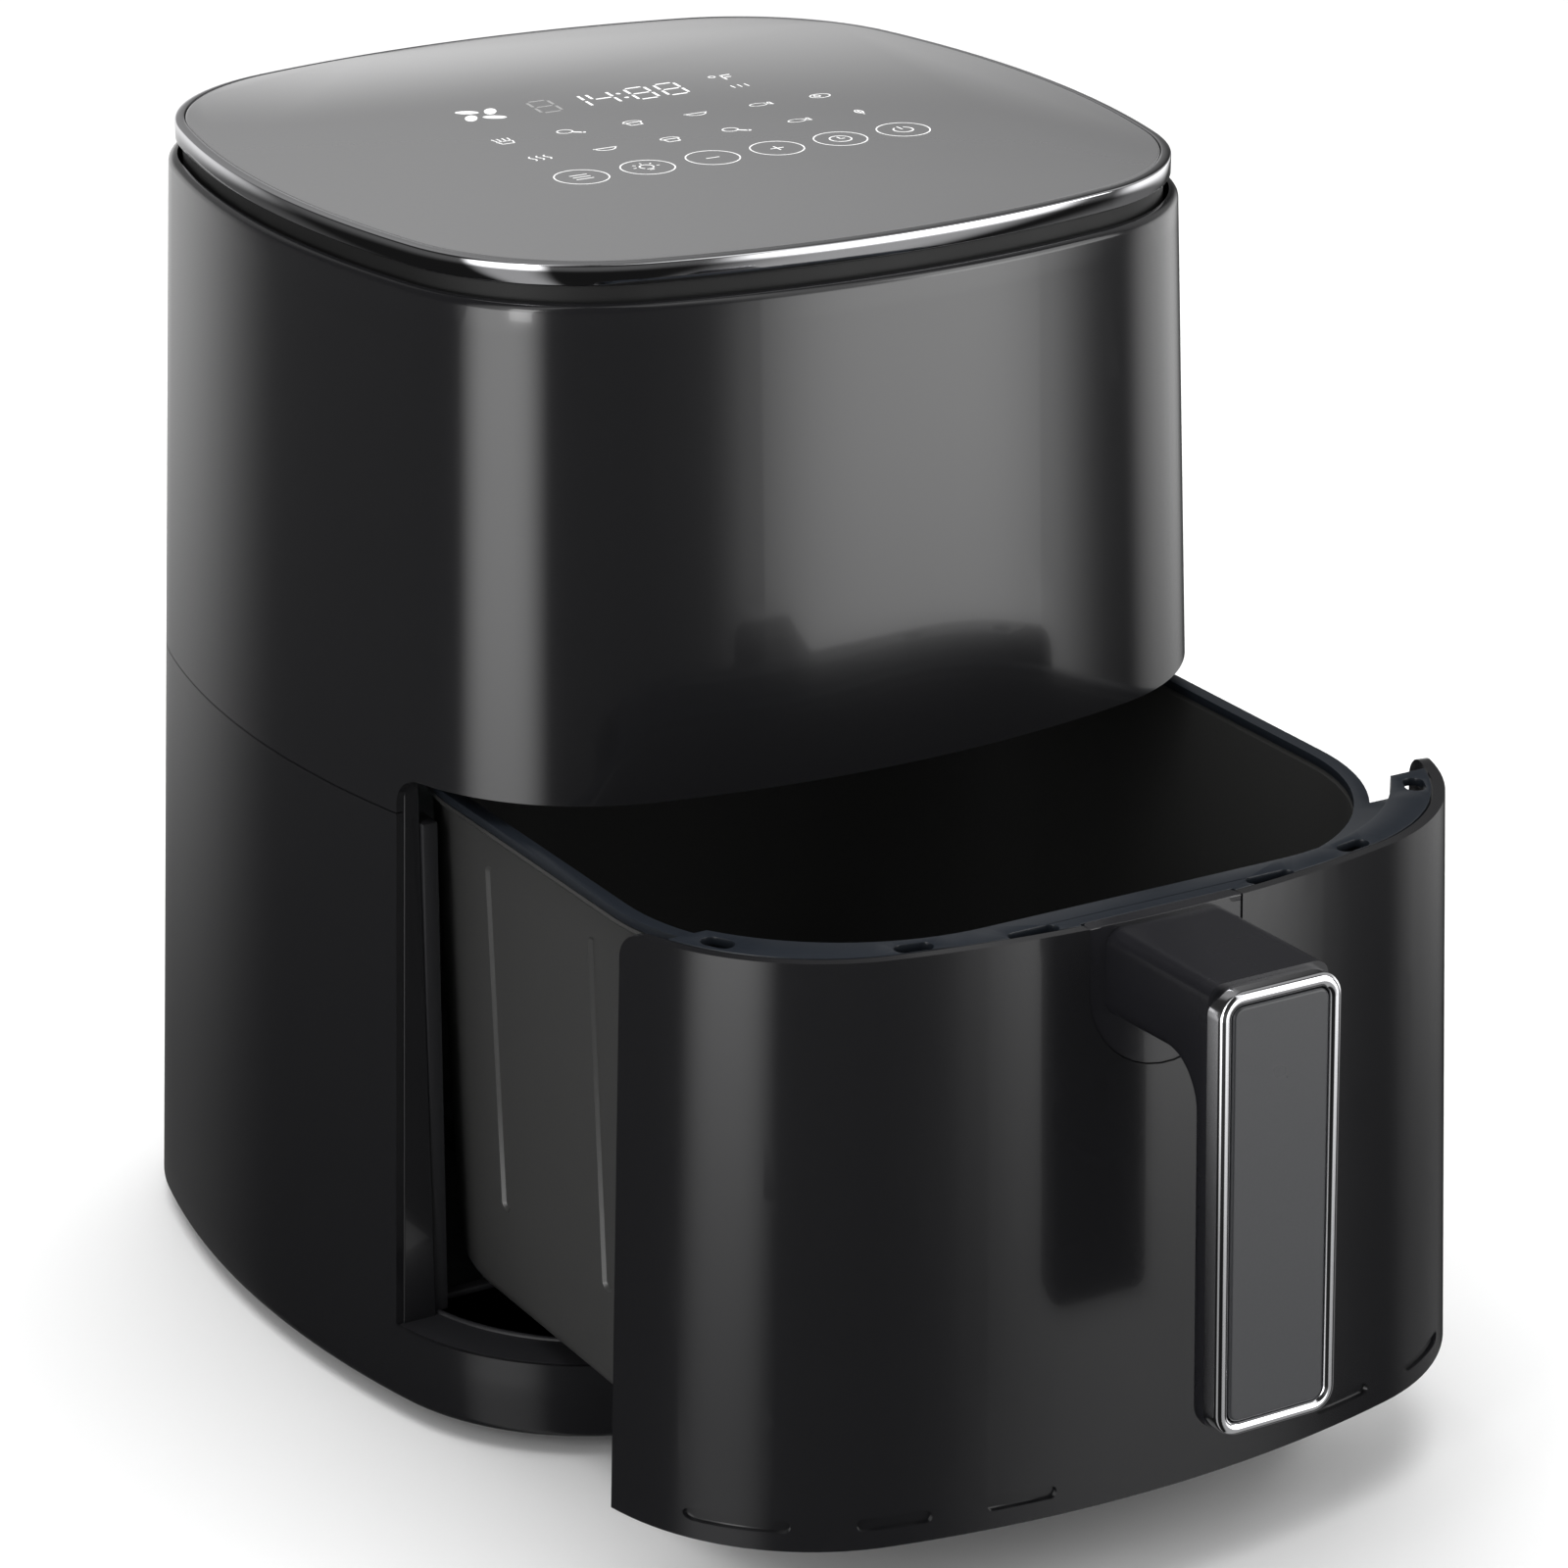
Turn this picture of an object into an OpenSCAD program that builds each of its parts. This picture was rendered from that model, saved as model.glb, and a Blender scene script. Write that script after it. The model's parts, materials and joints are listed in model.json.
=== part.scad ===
// Drawer air fryer. Millimetres, +Z up, front towards -Y.
// The origin is the middle of the body on the table, and the drawer stands pulled out.

/* [Body] */
// Width and depth of the body at its lower edge
body_w = 270; // [262:1:330]
// Height from the table to the face of the glass
body_h = 324; // [318:1:400]
// How much each side draws in for every millimetre of height
side_taper = 0.0393; // [0.02:0.0001:0.045]
// Radius of the shallow bow of each side
side_r = 329.3; // [280:0.1:500]
// Radius of the upright corners
corner_r = 66.8; // [56:0.1:80]
// Wall of the moulded housings
wall = 2.6; // [2:0.1:3.4]
// Height of the joint between lower and upper housing
seam_z = 172.2; // [160:0.1:185]
// Visible line between the two housings
seam_gap = 0.3; // [0.2:0.1:0.6]
// Height of the sill below the drawer opening
sill_h = 21.4; // [19:0.1:26]
// How far the drawer opening rises above the joint
opening_rise = 10.8; // [9:0.1:14]
// Radius of the upper corners of the opening
opening_r = 8; // [5:0.5:9]
// Distance of the opening's side edges ahead of the middle, at the base
side_reach = 72.2; // [68:0.1:76]
// Thickness of the moulded floor and of the inner ledges
deck_t = 2.5; // [2:0.1:3.2]
// Space for air and posts beside the drawer's path, where the bow of the side ends
side_gap = 7.082; // [5:0.001:10]

/* [Top] */
// Thickness of the glass
glass_t = 3; // [2.5:0.1:4]
// Distance of the glass edge inside the bright band
glass_inset = 2.6; // [2:0.1:3.5]
// Height of the bright band
band_h = 6.1; // [5:0.1:8]
// Height of the dark groove below the band
groove_h = 4.3; // [3:0.1:6]
// Outer edge of the bright band, measured in from the housing line
band_inset = 1.6; // [1:0.1:2.5]
// Thickness of the two circuit boards
board_t = 1.6; // [1:0.1:2]

/* [Drawer] */
// Distance that the drawer stands pulled out
drawer_out = 117.3; // [0:0.1:130]
// Running gap beside the drawer rim
drawer_gap = 1; // [0.6:0.1:1.5]
// Gap round the edges of the drawer front
edge_gap = 1; // [0.6:0.1:1.5]
// Wall of the drawer front
front_t = 3; // [2.4:0.1:3.6]
// Sheet thickness of the tub
tub_t = 1.5; // [1:0.1:2]
// Inner corner radius of the tub at its rim
tub_corner_r = 60; // [50:0.5:64]
// Draft of the tub walls in degrees
tub_draft = 1.9; // [1:0.1:2.5]
// Width of the rim round the tub
rim_w = 4.6; // [4:0.1:6]
// Drop from the top of the drawer front to the rim
ring_step = 6.2; // [5:0.1:7]
// Distance from the tub to the raised part of the ring
ring_reach = 9.3; // [8:0.1:10]
// Height of the tub above the sill
tub_lift = 4.6; // [4.4:0.1:6]
// Height of the crisper plate above the tub floor
plate_lift = 10; // [8:0.5:16]
// Thickness of the crisper plate
plate_t = 2; // [1.5:0.1:3]

/* [Handle] */
// Width of arm and grip
handle_w = 35.4; // [30:0.1:42]
// Length of the grip
grip_l = 117.4; // [100:0.1:120]
// Distance from the drawer front to the face of the grip
handle_out = 47.6; // [44:0.1:56]
// Depth of the grip with its frame
grip_t = 13; // [12:0.1:16]
// Depth of the bright frame
frame_t = 5.8; // [5:0.1:6.5]
// Width of the bright frame's face
frame_w = 3.6; // [3:0.1:5]
// Height of the arm
arm_h = 23; // [20:0.1:28]
// Width of the pad behind the arm
pad_w = 45; // [44:0.5:54]
// Thickness of the pad
pad_t = 1.6; // [1.2:0.1:2]

/* [Heater and fan] */
// Radius of the motor shaft
shaft_r = 3; // [2.5:0.1:4]
// Running clearance round the shaft in its bushes
run_gap = 0.04; // [0.02:0.01:0.08]
// Radius of the hot-air fan
fan_r = 62; // [40:1:66]
// Radius of the cooling fan
cooler_r = 40; // [30:1:48]
// Radius of the heating tube
tube_r = 3.25; // [2.5:0.05:4]
// Radius of the heater's outer turn
turn_r = 88; // [84:0.5:90]
// Depth of the steel pan above the food space
pan_h = 37; // [36:0.5:42]
// Sheet thickness of pan, liner and floor
sheet_t = 1; // [0.8:0.1:1.4]
// Width of the square motor core
core_w = 60; // [54:1:70]
// Height of the motor core
core_h = 25; // [20:1:30]

/* [Base] */
// Height of the feet
foot_h = 5; // [4.5:0.1:7]
// Radius of the feet
foot_r = 11; // [8:0.5:14]
// Distance of each corner foot from both middle lines
foot_at = 88; // [80:1:92]
// Radius of the hole for the mains lead
cord_r = 4; // [3:0.1:5]
// Height of the mains lead's inlet above the table
cord_z = 45; // [40:1:60]

/* [Hidden] */
$fn = 64;

// Gap between pieces that are fitted together, gap between pieces that lie on one another,
// and overshoot of a cut
fit = 0.15;
seat = 0.05;
cut = 1;

// Heads of the small screws, and the ledges that carry deck and tray
head_r = 3.4;
deck_ledge = 6;
tray_ledge = 9;

half_w = body_w / 2;
bow = side_r - half_w;
corner_at = (sqrt(8 * pow(side_r - corner_r, 2) - 4 * bow * bow) - 2 * bow) / 4;
bow_angle = atan2(corner_at, corner_at + bow);
bow_drop = half_w - corner_at - corner_r * cos(bow_angle);
function wall_at(z) = half_w - side_taper * (z - foot_h);
lean = atan(side_taper);
edge_lean = atan(side_taper * side_reach / half_w);

// Heights, from the table up
sill_z = foot_h + sill_h;
open_z = seam_z + opening_rise;
front_z0 = sill_z + edge_gap;
front_z1 = open_z - edge_gap / 2;
ring_t = 2.4;
rim_z = front_z1 - ring_step;
flange_t = 1.4;
tub_z1 = rim_z - ring_t - fit;
tub_z0 = sill_z + tub_lift;
plate_z = tub_z0 + tub_t + plate_lift;
deck_z = open_z + 4;
pan_z = deck_z + deck_t;
pan_top = deck_z + pan_h;
neck_z = body_h - band_h - groove_h;
band_z = neck_z + groove_h;
glass_z = body_h - glass_t;
tray_drop = 7.5;
tray_z = neck_z - tray_drop;
tray_t = 2;
board_z = tray_z + tray_t + 3;

// Widths, from the middle out
post_in = wall_at(open_z) - bow_drop - wall - side_gap;
post_w = 4.5;
rim_hw = post_in - drawer_gap;
tub_hw = rim_hw - rim_w;
ring_hw = tub_hw + ring_reach;
liner_in = post_in + 2.2;
pan_r = post_in - 8.3;
band_hw = wall_at(neck_z) - band_inset - 0.3;
glass_hw = band_hw - glass_inset;
neck_hw = band_hw - 1.7;
ring_end = side_reach + 8.5;
grip_top = front_z1 - 1;

// ---- outline of the body: four shallow bows joined by four corner arcs ----
bow_n = 8;
corner_n = 12;

// Corner radius of tub and liner, which grows where the ledge's corner would meet the liner
corner_gap = 1.5;
liner_grow = 2 + sheet_t - tub_t;
ledge_corner = (corner_at * sqrt(2) + corner_r) * (wall_at(deck_z) - wall - deck_ledge) / half_w;
least_r = (sqrt(2) * (liner_in + sheet_t) + corner_gap - ledge_corner) / (sqrt(2) - 1) - liner_grow;
tub_r = max(tub_corner_r, least_r);
liner_r = tub_r - tub_t;

function quarter() = concat(
    [for (i = [0 : bow_n - 1]) let (t = bow_angle * (2 * i / bow_n - 1))
        [side_r * cos(t) - bow, side_r * sin(t)]],
    [for (i = [0 : corner_n - 1]) let (t = bow_angle + (90 - 2 * bow_angle) * i / corner_n)
        [corner_at + corner_r * cos(t), corner_at + corner_r * sin(t)]]);
function turned(p, a) = [p.x * cos(a) - p.y * sin(a), p.x * sin(a) + p.y * cos(a)];
function outline(hw) = [for (k = [0 : 3]) for (p = quarter()) turned(p, 90 * k) * hw / half_w];

// Solid with the body's outline and draft, set in from the skin
module body_form(inset, z0, z1) {
    a0 = wall_at(z0) - inset;
    a1 = wall_at(z1) - inset;
    translate([0, 0, z0]) linear_extrude(height = z1 - z0, scale = a1 / a0) polygon(outline(a0));
}

// Wall with that outline and draft, between two insets
module body_shell(inset0, inset1, z0, z1) {
    a0 = wall_at(z0);
    translate([0, 0, z0]) linear_extrude(height = z1 - z0, scale = wall_at(z1) / a0) difference() {
        polygon(outline(a0 - inset0));
        polygon(outline(a0 - inset1));
    }
}

// Flat ledge that runs round inside the wall
module ledge(inset0, inset1, z0, z1) {
    difference() {
        outline_plate(wall_at(z1) - inset0, z0, z1);
        outline_plate(wall_at(z1) - inset1, z0 - cut, z1 + cut);
    }
}

// Upright plate with the body's outline, without draft
module outline_plate(hw, z0, z1) {
    translate([0, 0, z0]) linear_extrude(height = z1 - z0) polygon(outline(hw));
}

// Square with round corners
module soft_square(hw, r) {
    square([2 * hw, 2 * (hw - r)], center = true);
    square([2 * (hw - r), 2 * hw], center = true);
    for (x = [-1, 1], y = [-1, 1]) translate([x * (hw - r), y * (hw - r)]) circle(r);
}

// The same outline as points
function soft_outline(hw, r) = [for (k = [0 : 3]) for (i = [0 : corner_n])
    turned([hw - r + r * cos(90 * i / corner_n), hw - r + r * sin(90 * i / corner_n)], 90 * k)];

module soft_plate(hw, r, z0, z1) {
    translate([0, 0, z0]) linear_extrude(height = z1 - z0) soft_square(hw, r);
}

module soft_wall(hw, r, t, z0, z1) {
    translate([0, 0, z0]) linear_extrude(height = z1 - z0) difference() {
        soft_square(hw + t, r + t);
        soft_square(hw, r);
    }
}

module block(x0, x1, y0, y1, z0, z1) {
    translate([x0, y0, z0]) cube([x1 - x0, y1 - y0, z1 - z0]);
}

module rod(r, z0, z1) {
    translate([0, 0, z0]) cylinder(r = r, h = z1 - z0);
}

// Rod along +Y
module rod_y(r, x, z, y0, y1) {
    translate([x, y0, z]) rotate([-90, 0, 0]) cylinder(r = r, h = y1 - y0);
}

// Region ahead of the leaning line where opening and drawer front end, between two heights
// and with its upper corner rounded by r, as [y, z] points
function edge_at(extra, z) = tan(edge_lean) * (z - foot_h) - side_reach - extra;
function front_side(extra, z0, z1, r) =
    let (arc_y = edge_at(extra, z1 - r) - r / cos(edge_lean), steps = 8)
    concat(
        [[-body_w, z1], [-body_w, z0], [edge_at(extra, z0), z0]],
        [for (i = [0 : steps]) let (t = (90 + edge_lean) * i / steps - edge_lean)
            [arc_y + r * cos(t), z1 - r + r * sin(t)]]);

module front_region(extra, z0, z1, r) {
    rotate([90, 0, 90]) linear_extrude(height = 3 * body_w, center = true)
        polygon(front_side(extra, z0, z1, r));
}

// Four places that mirror one another
module four(x, y) {
    for (i = [-1, 1], j = [-1, 1]) translate([i * x, j * y, 0]) children();
}

// Places a piece against the leaning drawer front: y = 0 on its face, z up along it
module on_front() {
    translate([0, -half_w, foot_h]) rotate([-lean, 0, 0]) children();
}

module pulled_out() {
    translate([0, -drawer_out, 0]) children();
}

// ---- housings ----
vent_w = 84;
vent_z = deck_z + deck_t + 4;
vent_h = 26;
boss_x = 100;
boss_y = 58;
screw_r = 1.45;

// Wall between the skin and the posts, at both sides of the opening
module jambs(z0, z1) {
    inner = post_in + post_w + fit;
    intersection() {
        body_form(wall / 2, z0, z1);
        for (s = [-1, 1]) block(s < 0 ? -body_w : inner, s < 0 ? -inner : body_w,
            -side_reach - 1, 2 * wall - side_reach, z0, z1);
    }
}

module lower_housing() {
    color("#131314") difference() {
        union() {
            difference() {
                union() {
                    body_shell(0, wall, foot_h, seam_z);
                    body_shell(wall - 1, wall + 2, seam_z - 6, seam_z - 1.5);
                    body_shell(wall + fit, wall + 2, seam_z - 6, seam_z + 4);
                    jambs(sill_z - 1, seam_z - 6);
                }
                front_region(0, sill_z, seam_z + 20, opening_r);
            }
            body_form(wall - 1, sill_z - deck_t, sill_z);
            four(boss_x, boss_y) rod(4.5, foot_h + deck_t, sill_z - deck_t + 1);
        }
        four(boss_x, boss_y) rod(screw_r + 0.05, foot_h, foot_h + 12);
        rod_y(cord_r + 3.2, 0, cord_z, half_w - 20, half_w + 10);
    }
}

module upper_housing() {
    bevel = 1.5;
    color("#141415") difference() {
        union() {
            difference() {
                union() {
                    body_form(0, seam_z + seam_gap, neck_z - bevel);
                    translate([0, 0, neck_z - bevel]) linear_extrude(height = bevel,
                        scale = (wall_at(neck_z) - bevel) / wall_at(neck_z - bevel))
                        polygon(outline(wall_at(neck_z - bevel)));
                }
                body_form(wall, seam_z + seam_gap, neck_z);
            }
            ledge(wall - 1, wall + deck_ledge, deck_z - deck_t, deck_z - 0.2);
            ledge(wall - 1, wall + tray_ledge, tray_z - deck_t, tray_z);
        }
        front_region(0, 0, open_z, opening_r);
        block(-vent_w / 2, vent_w / 2, half_w / 2, half_w * 2, vent_z, vent_z + vent_h);
    }
}

module rear_vent() {
    slat = 4;
    color("#1a1a1b") difference() {
        intersection() {
            body_shell(0.4, wall + 1.4, vent_z, vent_z + vent_h);
            block(-vent_w / 2 + fit, vent_w / 2 - fit, 0, body_w, vent_z + fit, vent_z + vent_h - fit);
        }
        for (z = [vent_z + slat : slat : vent_z + vent_h - slat])
            block(-vent_w / 2 + 5, -2, 0, body_w, z - 1, z + 1);
        for (z = [vent_z + slat : slat : vent_z + vent_h - slat])
            block(2, vent_w / 2 - 5, 0, body_w, z - 1, z + 1);
    }
}

module cord_inlet() {
    color("#1b1b1c") difference() {
        union() {
            rod_y(cord_r + 3, 0, cord_z, half_w - 15, half_w - 1);
            rod_y(cord_r + 5.5, 0, cord_z, wall_at(cord_z - cord_r - 5.5) + fit, half_w + 1.2);
        }
        rod_y(cord_r, 0, cord_z, half_w - 16, half_w + 5);
    }
}

// ---- top ----
module chrome_band() {
    edge = 1.2;
    color("#d9dade") difference() {
        union() {
            outline_plate(band_hw, band_z, body_h - edge);
            translate([0, 0, body_h - edge]) linear_extrude(height = edge - 0.1,
                scale = (glass_hw + 0.4) / band_hw) polygon(outline(band_hw));
        }
        outline_plate(glass_hw + fit, band_z - cut, body_h + cut);
    }
}

module top_glass() {
    color("#2a2b2d") outline_plate(glass_hw, glass_z, body_h);
}

module top_frame() {
    color("#0e0e0f") difference() {
        union() {
            outline_plate(neck_hw, tray_z + tray_t, band_z);
            outline_plate(glass_hw, band_z, glass_z);
        }
        outline_plate(neck_hw - tray_ledge, tray_z, body_h);
    }
}

module board_tray() {
    color("#202022") difference() {
        union() {
            outline_plate(neck_hw, tray_z, tray_z + tray_t);
            four(70, 38) translate([0, 20, 0]) rod(4, tray_z, board_z);
        }
        for (x = [-80 : 20 : 80]) block(x - 4, x + 4, -100, -40, tray_z - cut, tray_z + tray_t + cut);
    }
}

module control_board() {
    color("#1d4a2c") {
        block(-78, 78, -26, 66, board_z, board_z + board_t);
        block(-70, -50, -20, -4, board_z + board_t, board_z + board_t + 3);
        block(40, 64, 40, 56, board_z + board_t, board_z + board_t + 3);
    }
}

module display_module() {
    color("#e8e8ea") block(-34, 34, 26, 52, board_z + board_t, glass_z - 0.2);
}

// Six springs that carry the touch fields up to the glass
module touch_springs() {
    pitch = 18;
    coil_r = 4.6;
    color("#c9a35b") for (i = [0 : 5]) translate([(i - 2.5) * pitch, 2, 0]) difference() {
        rod(coil_r, board_z + board_t, glass_z - seat);
        rod(coil_r - 1, board_z + board_t + 1, glass_z - 1);
    }
}

// ---- hot part ----
element_z = pan_z + 11;
guard_z = deck_z + 0.5;
leg_angle = 12;
lead_angle = 180 + leg_angle;
turn_step = 13;

module inner_deck() {
    color("#26272a") difference() {
        body_form(wall + 0.3, deck_z, deck_z + deck_t);
        rod(pan_r + 0.3, 0, body_h);
    }
}

module reflector_pan() {
    color("#b9bcc0") difference() {
        union() {
            rod(pan_r, guard_z + 2, pan_top);
            rod(pan_r + 6, pan_z, pan_z + sheet_t);
        }
        rod(pan_r - sheet_t, 0, pan_top - sheet_t);
        rod(shaft_r + 3, 0, body_h);
        for (r = [turn_r, turn_r - turn_step]) rotate([0, 0, lead_angle]) translate([r, 0, 0])
            rod(tube_r + 1.9, 0, body_h);
        translate([probe_x, probe_y, 0]) rod(2.3, 0, body_h);
        block(-vent_w / 2 + 6, vent_w / 2 - 6, 0, body_w, vent_z + 3, vent_z + vent_h - 3);
    }
}

// Two turns of sheathed tube joined by a bend, with both ends led up through the pan
module heating_tube() {
    mid = turn_r - turn_step / 2;
    color("#55585c") translate([0, 0, element_z]) {
        for (r = [turn_r, turn_r - turn_step]) {
            rotate([0, 0, lead_angle]) rotate_extrude(angle = 360 - 2 * leg_angle)
                translate([r, 0]) circle(tube_r);
            rotate([0, 0, lead_angle]) translate([r, 0, 0]) {
                sphere(tube_r);
                cylinder(r = tube_r, h = pan_top - element_z + 16);
            }
        }
        rotate([0, 0, lead_angle - 2 * leg_angle]) translate([mid, 0, 0]) rotate_extrude(angle = 180)
            translate([turn_step / 2, 0]) circle(tube_r);
    }
}

module heater_bushes() {
    color("#e9e5da") for (r = [turn_r, turn_r - turn_step])
        rotate([0, 0, lead_angle]) translate([r, 0, 0]) difference() {
            union() {
                rod(tube_r + 1.8, pan_top - 3, pan_top + 8);
                rod(tube_r + 2.8, pan_top + seat, pan_top + 4);
            }
            rod(tube_r + 0.1, pan_top - 5, pan_top + 10);
        }
}

// Open wire guard below the heater: rings on spokes
module heater_guard() {
    wire = 1.2;
    color("#a9acb0") {
        for (r = [16 : 12 : pan_r - 5]) translate([0, 0, guard_z])
            rotate_extrude() translate([r, 0]) square(2 * wire, center = true);
        for (a = [0 : 60 : 120]) rotate([0, 0, a]) translate([0, 0, guard_z])
            cube([2 * pan_r - 2 * sheet_t - 1, 2 * wire, 2 * wire], center = true);
    }
}

module chamber_liner() {
    color("#9b9ea2") difference() {
        soft_wall(liner_in, liner_r + 2, sheet_t, sill_z + 0.1, deck_z - 0.1);
        block(-body_w, body_w, -body_w, -liner_front, 0, body_h);
        rod_y(2.4, switch_x, switch_z, 0, body_w);
    }
}

module chamber_floor() {
    color("#8e9195") difference() {
        soft_plate(liner_in - fit, liner_r + 1.8, sill_z + 0.1, sill_z + sheet_t);
        block(-body_w, body_w, -body_w, -liner_front, 0, body_h);
    }
}

liner_front = side_reach - 11;
post_y = side_reach - 2.2;

module chamber_posts() {
    color("#3a3b3d") {
        for (s = [-1, 1]) {
            x = s * (post_in + post_w / 2);
            block(x - post_w / 2, x + post_w / 2, -post_y, -liner_front - fit, sill_z + 0.1, seam_z - 4);
        }
        block(-post_in - 1, post_in + 1, -liner_front - 4, -liner_front - fit, sill_z + 0.1, sill_z + 2);
    }
}

module guide_rails() {
    color("#5b5d60") for (s = [-1, 1])
        block(s * 60 - 3, s * 60 + 3, 1 - liner_front, liner_in - 12,
            sill_z + sheet_t + seat, tub_z0 - 2 * fit);
}

// ---- motor and fans, all on one upright shaft ----
bracket_z = pan_top + 14;
core_z = bracket_z + 8;
top_bracket_z = core_z + core_h + 6;
cooler_z = top_bracket_z + 10;
bracket_t = 2;
bush_r = shaft_r + 4;
rotor_r = core_w / 4;
bolt_at = core_w / 2 - 5;
fan_z = pan_top - 15;

module motor_shaft() {
    color("#c4c7cb") rod(shaft_r, fan_z - 8, cooler_z + 9);
}

module motor_rotor() {
    color("#8b8d90") difference() {
        rod(rotor_r, core_z, core_z + core_h);
        rod(shaft_r, core_z - cut, core_z + core_h + cut);
    }
}

module motor_core() {
    color("#6d7075") difference() {
        translate([0, 0, core_z + core_h / 2]) cube([core_w, core_w, core_h], center = true);
        rod(rotor_r + 0.4, core_z - cut, core_z + core_h + cut);
        four(bolt_at, bolt_at) rod(2.4, core_z - cut, core_z + core_h + cut);
    }
}

module motor_coils() {
    coil_w = core_w / 2;
    color("#a8622d") for (s = [-1, 1]) for (z = [core_z - 4, core_z + core_h + seat])
        block(s * (rotor_r + 7) - 4, s * (rotor_r + 7) + 4, -coil_w / 2, coil_w / 2, z, z + 3.95);
}

module bracket(z, r) {
    half = core_w / 2 + 2;
    difference() {
        block(-half, half, -half, half, z, z + bracket_t);
        rod(r, z - cut, z + bracket_t + cut);
        four(bolt_at, bolt_at) rod(2.1, z - cut, z + bracket_t + cut);
    }
}

module lower_bracket() {
    foot = core_w / 2 - 1;
    color("#9a9da1") {
        bracket(bracket_z, bush_r + 0.05);
        four(0, 0) translate([foot, 0, 0]) rod(2.5, pan_top + seat, bracket_z + 1);
        for (s = [-1, 1]) translate([0, s * foot, 0]) rod(2.5, pan_top + seat, bracket_z + 1);
    }
}

module upper_bracket() {
    color("#9a9da1") bracket(top_bracket_z, bush_r + 0.05);
}

module bush(z) {
    difference() {
        union() {
            rod(bush_r, z - 2, z + 5);
            rod(bush_r + 2, z + bracket_t + seat, z + bracket_t + 1.5);
        }
        rod(shaft_r + run_gap, z - 5, z + 8);
    }
}

module lower_bush() {
    color("#b08d4a") bush(bracket_z);
}

module upper_bush() {
    color("#b08d4a") bush(top_bracket_z);
}

module motor_bolts() {
    color("#c9cbce") four(bolt_at, bolt_at) {
        rod(1.95, bracket_z - 3, top_bracket_z + 5);
        rod(head_r, top_bracket_z + bracket_t + seat, top_bracket_z + 4.5);
        rod(head_r, bracket_z - 2.5, bracket_z - seat);
    }
}

module air_fan() {
    blade_h = 9;
    color("#b4b7bb") difference() {
        union() {
            rod(fan_r * 0.5, fan_z + blade_h, fan_z + blade_h + 1);
            rod(shaft_r + 5, fan_z, fan_z + blade_h + 1);
            for (i = [0 : 7]) rotate([0, 0, 45 * i]) translate([0, 4, 0]) rotate([0, 0, 12])
                block(shaft_r + 3, fan_r - 3, -0.6, 0.6, fan_z, fan_z + blade_h + 1);
        }
        rod(shaft_r, fan_z - cut, fan_z + blade_h + 2);
    }
}

module fan_nut() {
    color("#c9cbce") difference() {
        translate([0, 0, fan_z - 4.6]) cylinder(r = 5.6, h = 4.5, $fn = 6);
        rod(shaft_r, fan_z - 6, fan_z);
    }
}

module cooling_fan() {
    color("#2d2e31") difference() {
        union() {
            rod(shaft_r + 5, cooler_z, cooler_z + 9);
            rod(cooler_r, cooler_z, cooler_z + 1.5);
            for (i = [0 : 11]) rotate([0, 0, 30 * i]) translate([0, 3, 0])
                block(cooler_r * 0.45, cooler_r - 1.5, -0.7, 0.7, cooler_z, cooler_z + 9);
        }
        rod(shaft_r, cooler_z - cut, cooler_z + 10);
    }
}

// ---- electrics on the pan ----
probe_at = (turn_r + tube_r + pan_r - sheet_t) / 2;
probe_angle = 20;
probe_x = -probe_at * cos(probe_angle);
probe_y = -probe_at * sin(probe_angle);

module power_board() {
    x0 = core_w / 2 + 12;
    z = pan_top + 9;
    top = z + board_t;
    color("#22543a") {
        block(x0, x0 + 46, -42, 42, z, top);
        for (x = [x0 + 4, x0 + 42], y = [-38, 38]) translate([x, y, 0]) rod(2, pan_top + seat, z + 0.5);
        block(x0 + 6, x0 + 26, -36, -16, top - 0.5, top + 16);
        block(x0 + 8, x0 + 22, -8, 12, top - 0.5, top + 15);
        block(x0 + 30, x0 + 34, -30, 30, top - 0.5, top + 20);
        for (y = [20, 33]) translate([x0 + 14, y, 0]) rod(5, top - 0.5, top + 17);
    }
}

module thermal_cutout() {
    color("#d8d2c4") translate([-62, 30, 0]) {
        rod(8, pan_top + seat, pan_top + 6);
        block(-10, -4, -3, 3, pan_top + 3, pan_top + 11);
        block(4, 10, -3, 3, pan_top + 3, pan_top + 11);
    }
}

module temperature_probe() {
    color("#c9cbce") translate([probe_x, probe_y, 0]) {
        rod(2, guard_z + 6, pan_top + 10);
        rod(4, pan_top + seat, pan_top + 3);
    }
}

module exhaust_duct() {
    t = 1.6;
    w = vent_w / 2 - 2;
    color("#2b2c2f") difference() {
        intersection() {
            block(-w, w, 0, body_w, vent_z + 1, vent_z + vent_h - 1);
            body_form(wall + 2, vent_z, vent_z + vent_h);
        }
        block(-w + t, w - t, 0, body_w, vent_z + 1 + t, vent_z + vent_h - 1 - t);
        rod(pan_r + 6.2, 0, vent_z + t);
        rod(pan_r + 0.1, 0, body_h);
    }
}

switch_x = 30;
switch_z = tub_z1 - flange_t / 2;
plunger_tip = rim_hw + 0.5;

module drawer_switch() {
    y0 = liner_in + sheet_t + 0.1;
    color("#101214") difference() {
        block(switch_x - 8, switch_x + 8, y0, y0 + 5.4, switch_z - 6, switch_z + 6);
        rod_y(1.9, switch_x, switch_z, y0 - cut, y0 + 4.4);
    }
}

module switch_plunger() {
    color("#c03a2b") rod_y(1.8, switch_x, switch_z, plunger_tip, plunger_tip + 6);
}

// ---- base ----
module bottom_plate() {
    color("#18181a") difference() {
        body_form(wall + 0.2, foot_h, foot_h + deck_t);
        four(boss_x, boss_y) rod(1.8, 0, foot_h + 5);
        foot_places() rod(4, 0, foot_h + 5);
        for (x = [-60 : 12 : 60]) if (abs(x) > foot_r + 5)
            block(x - 2.5, x + 2.5, -28, 28, 0, foot_h + 5);
    }
}

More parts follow.
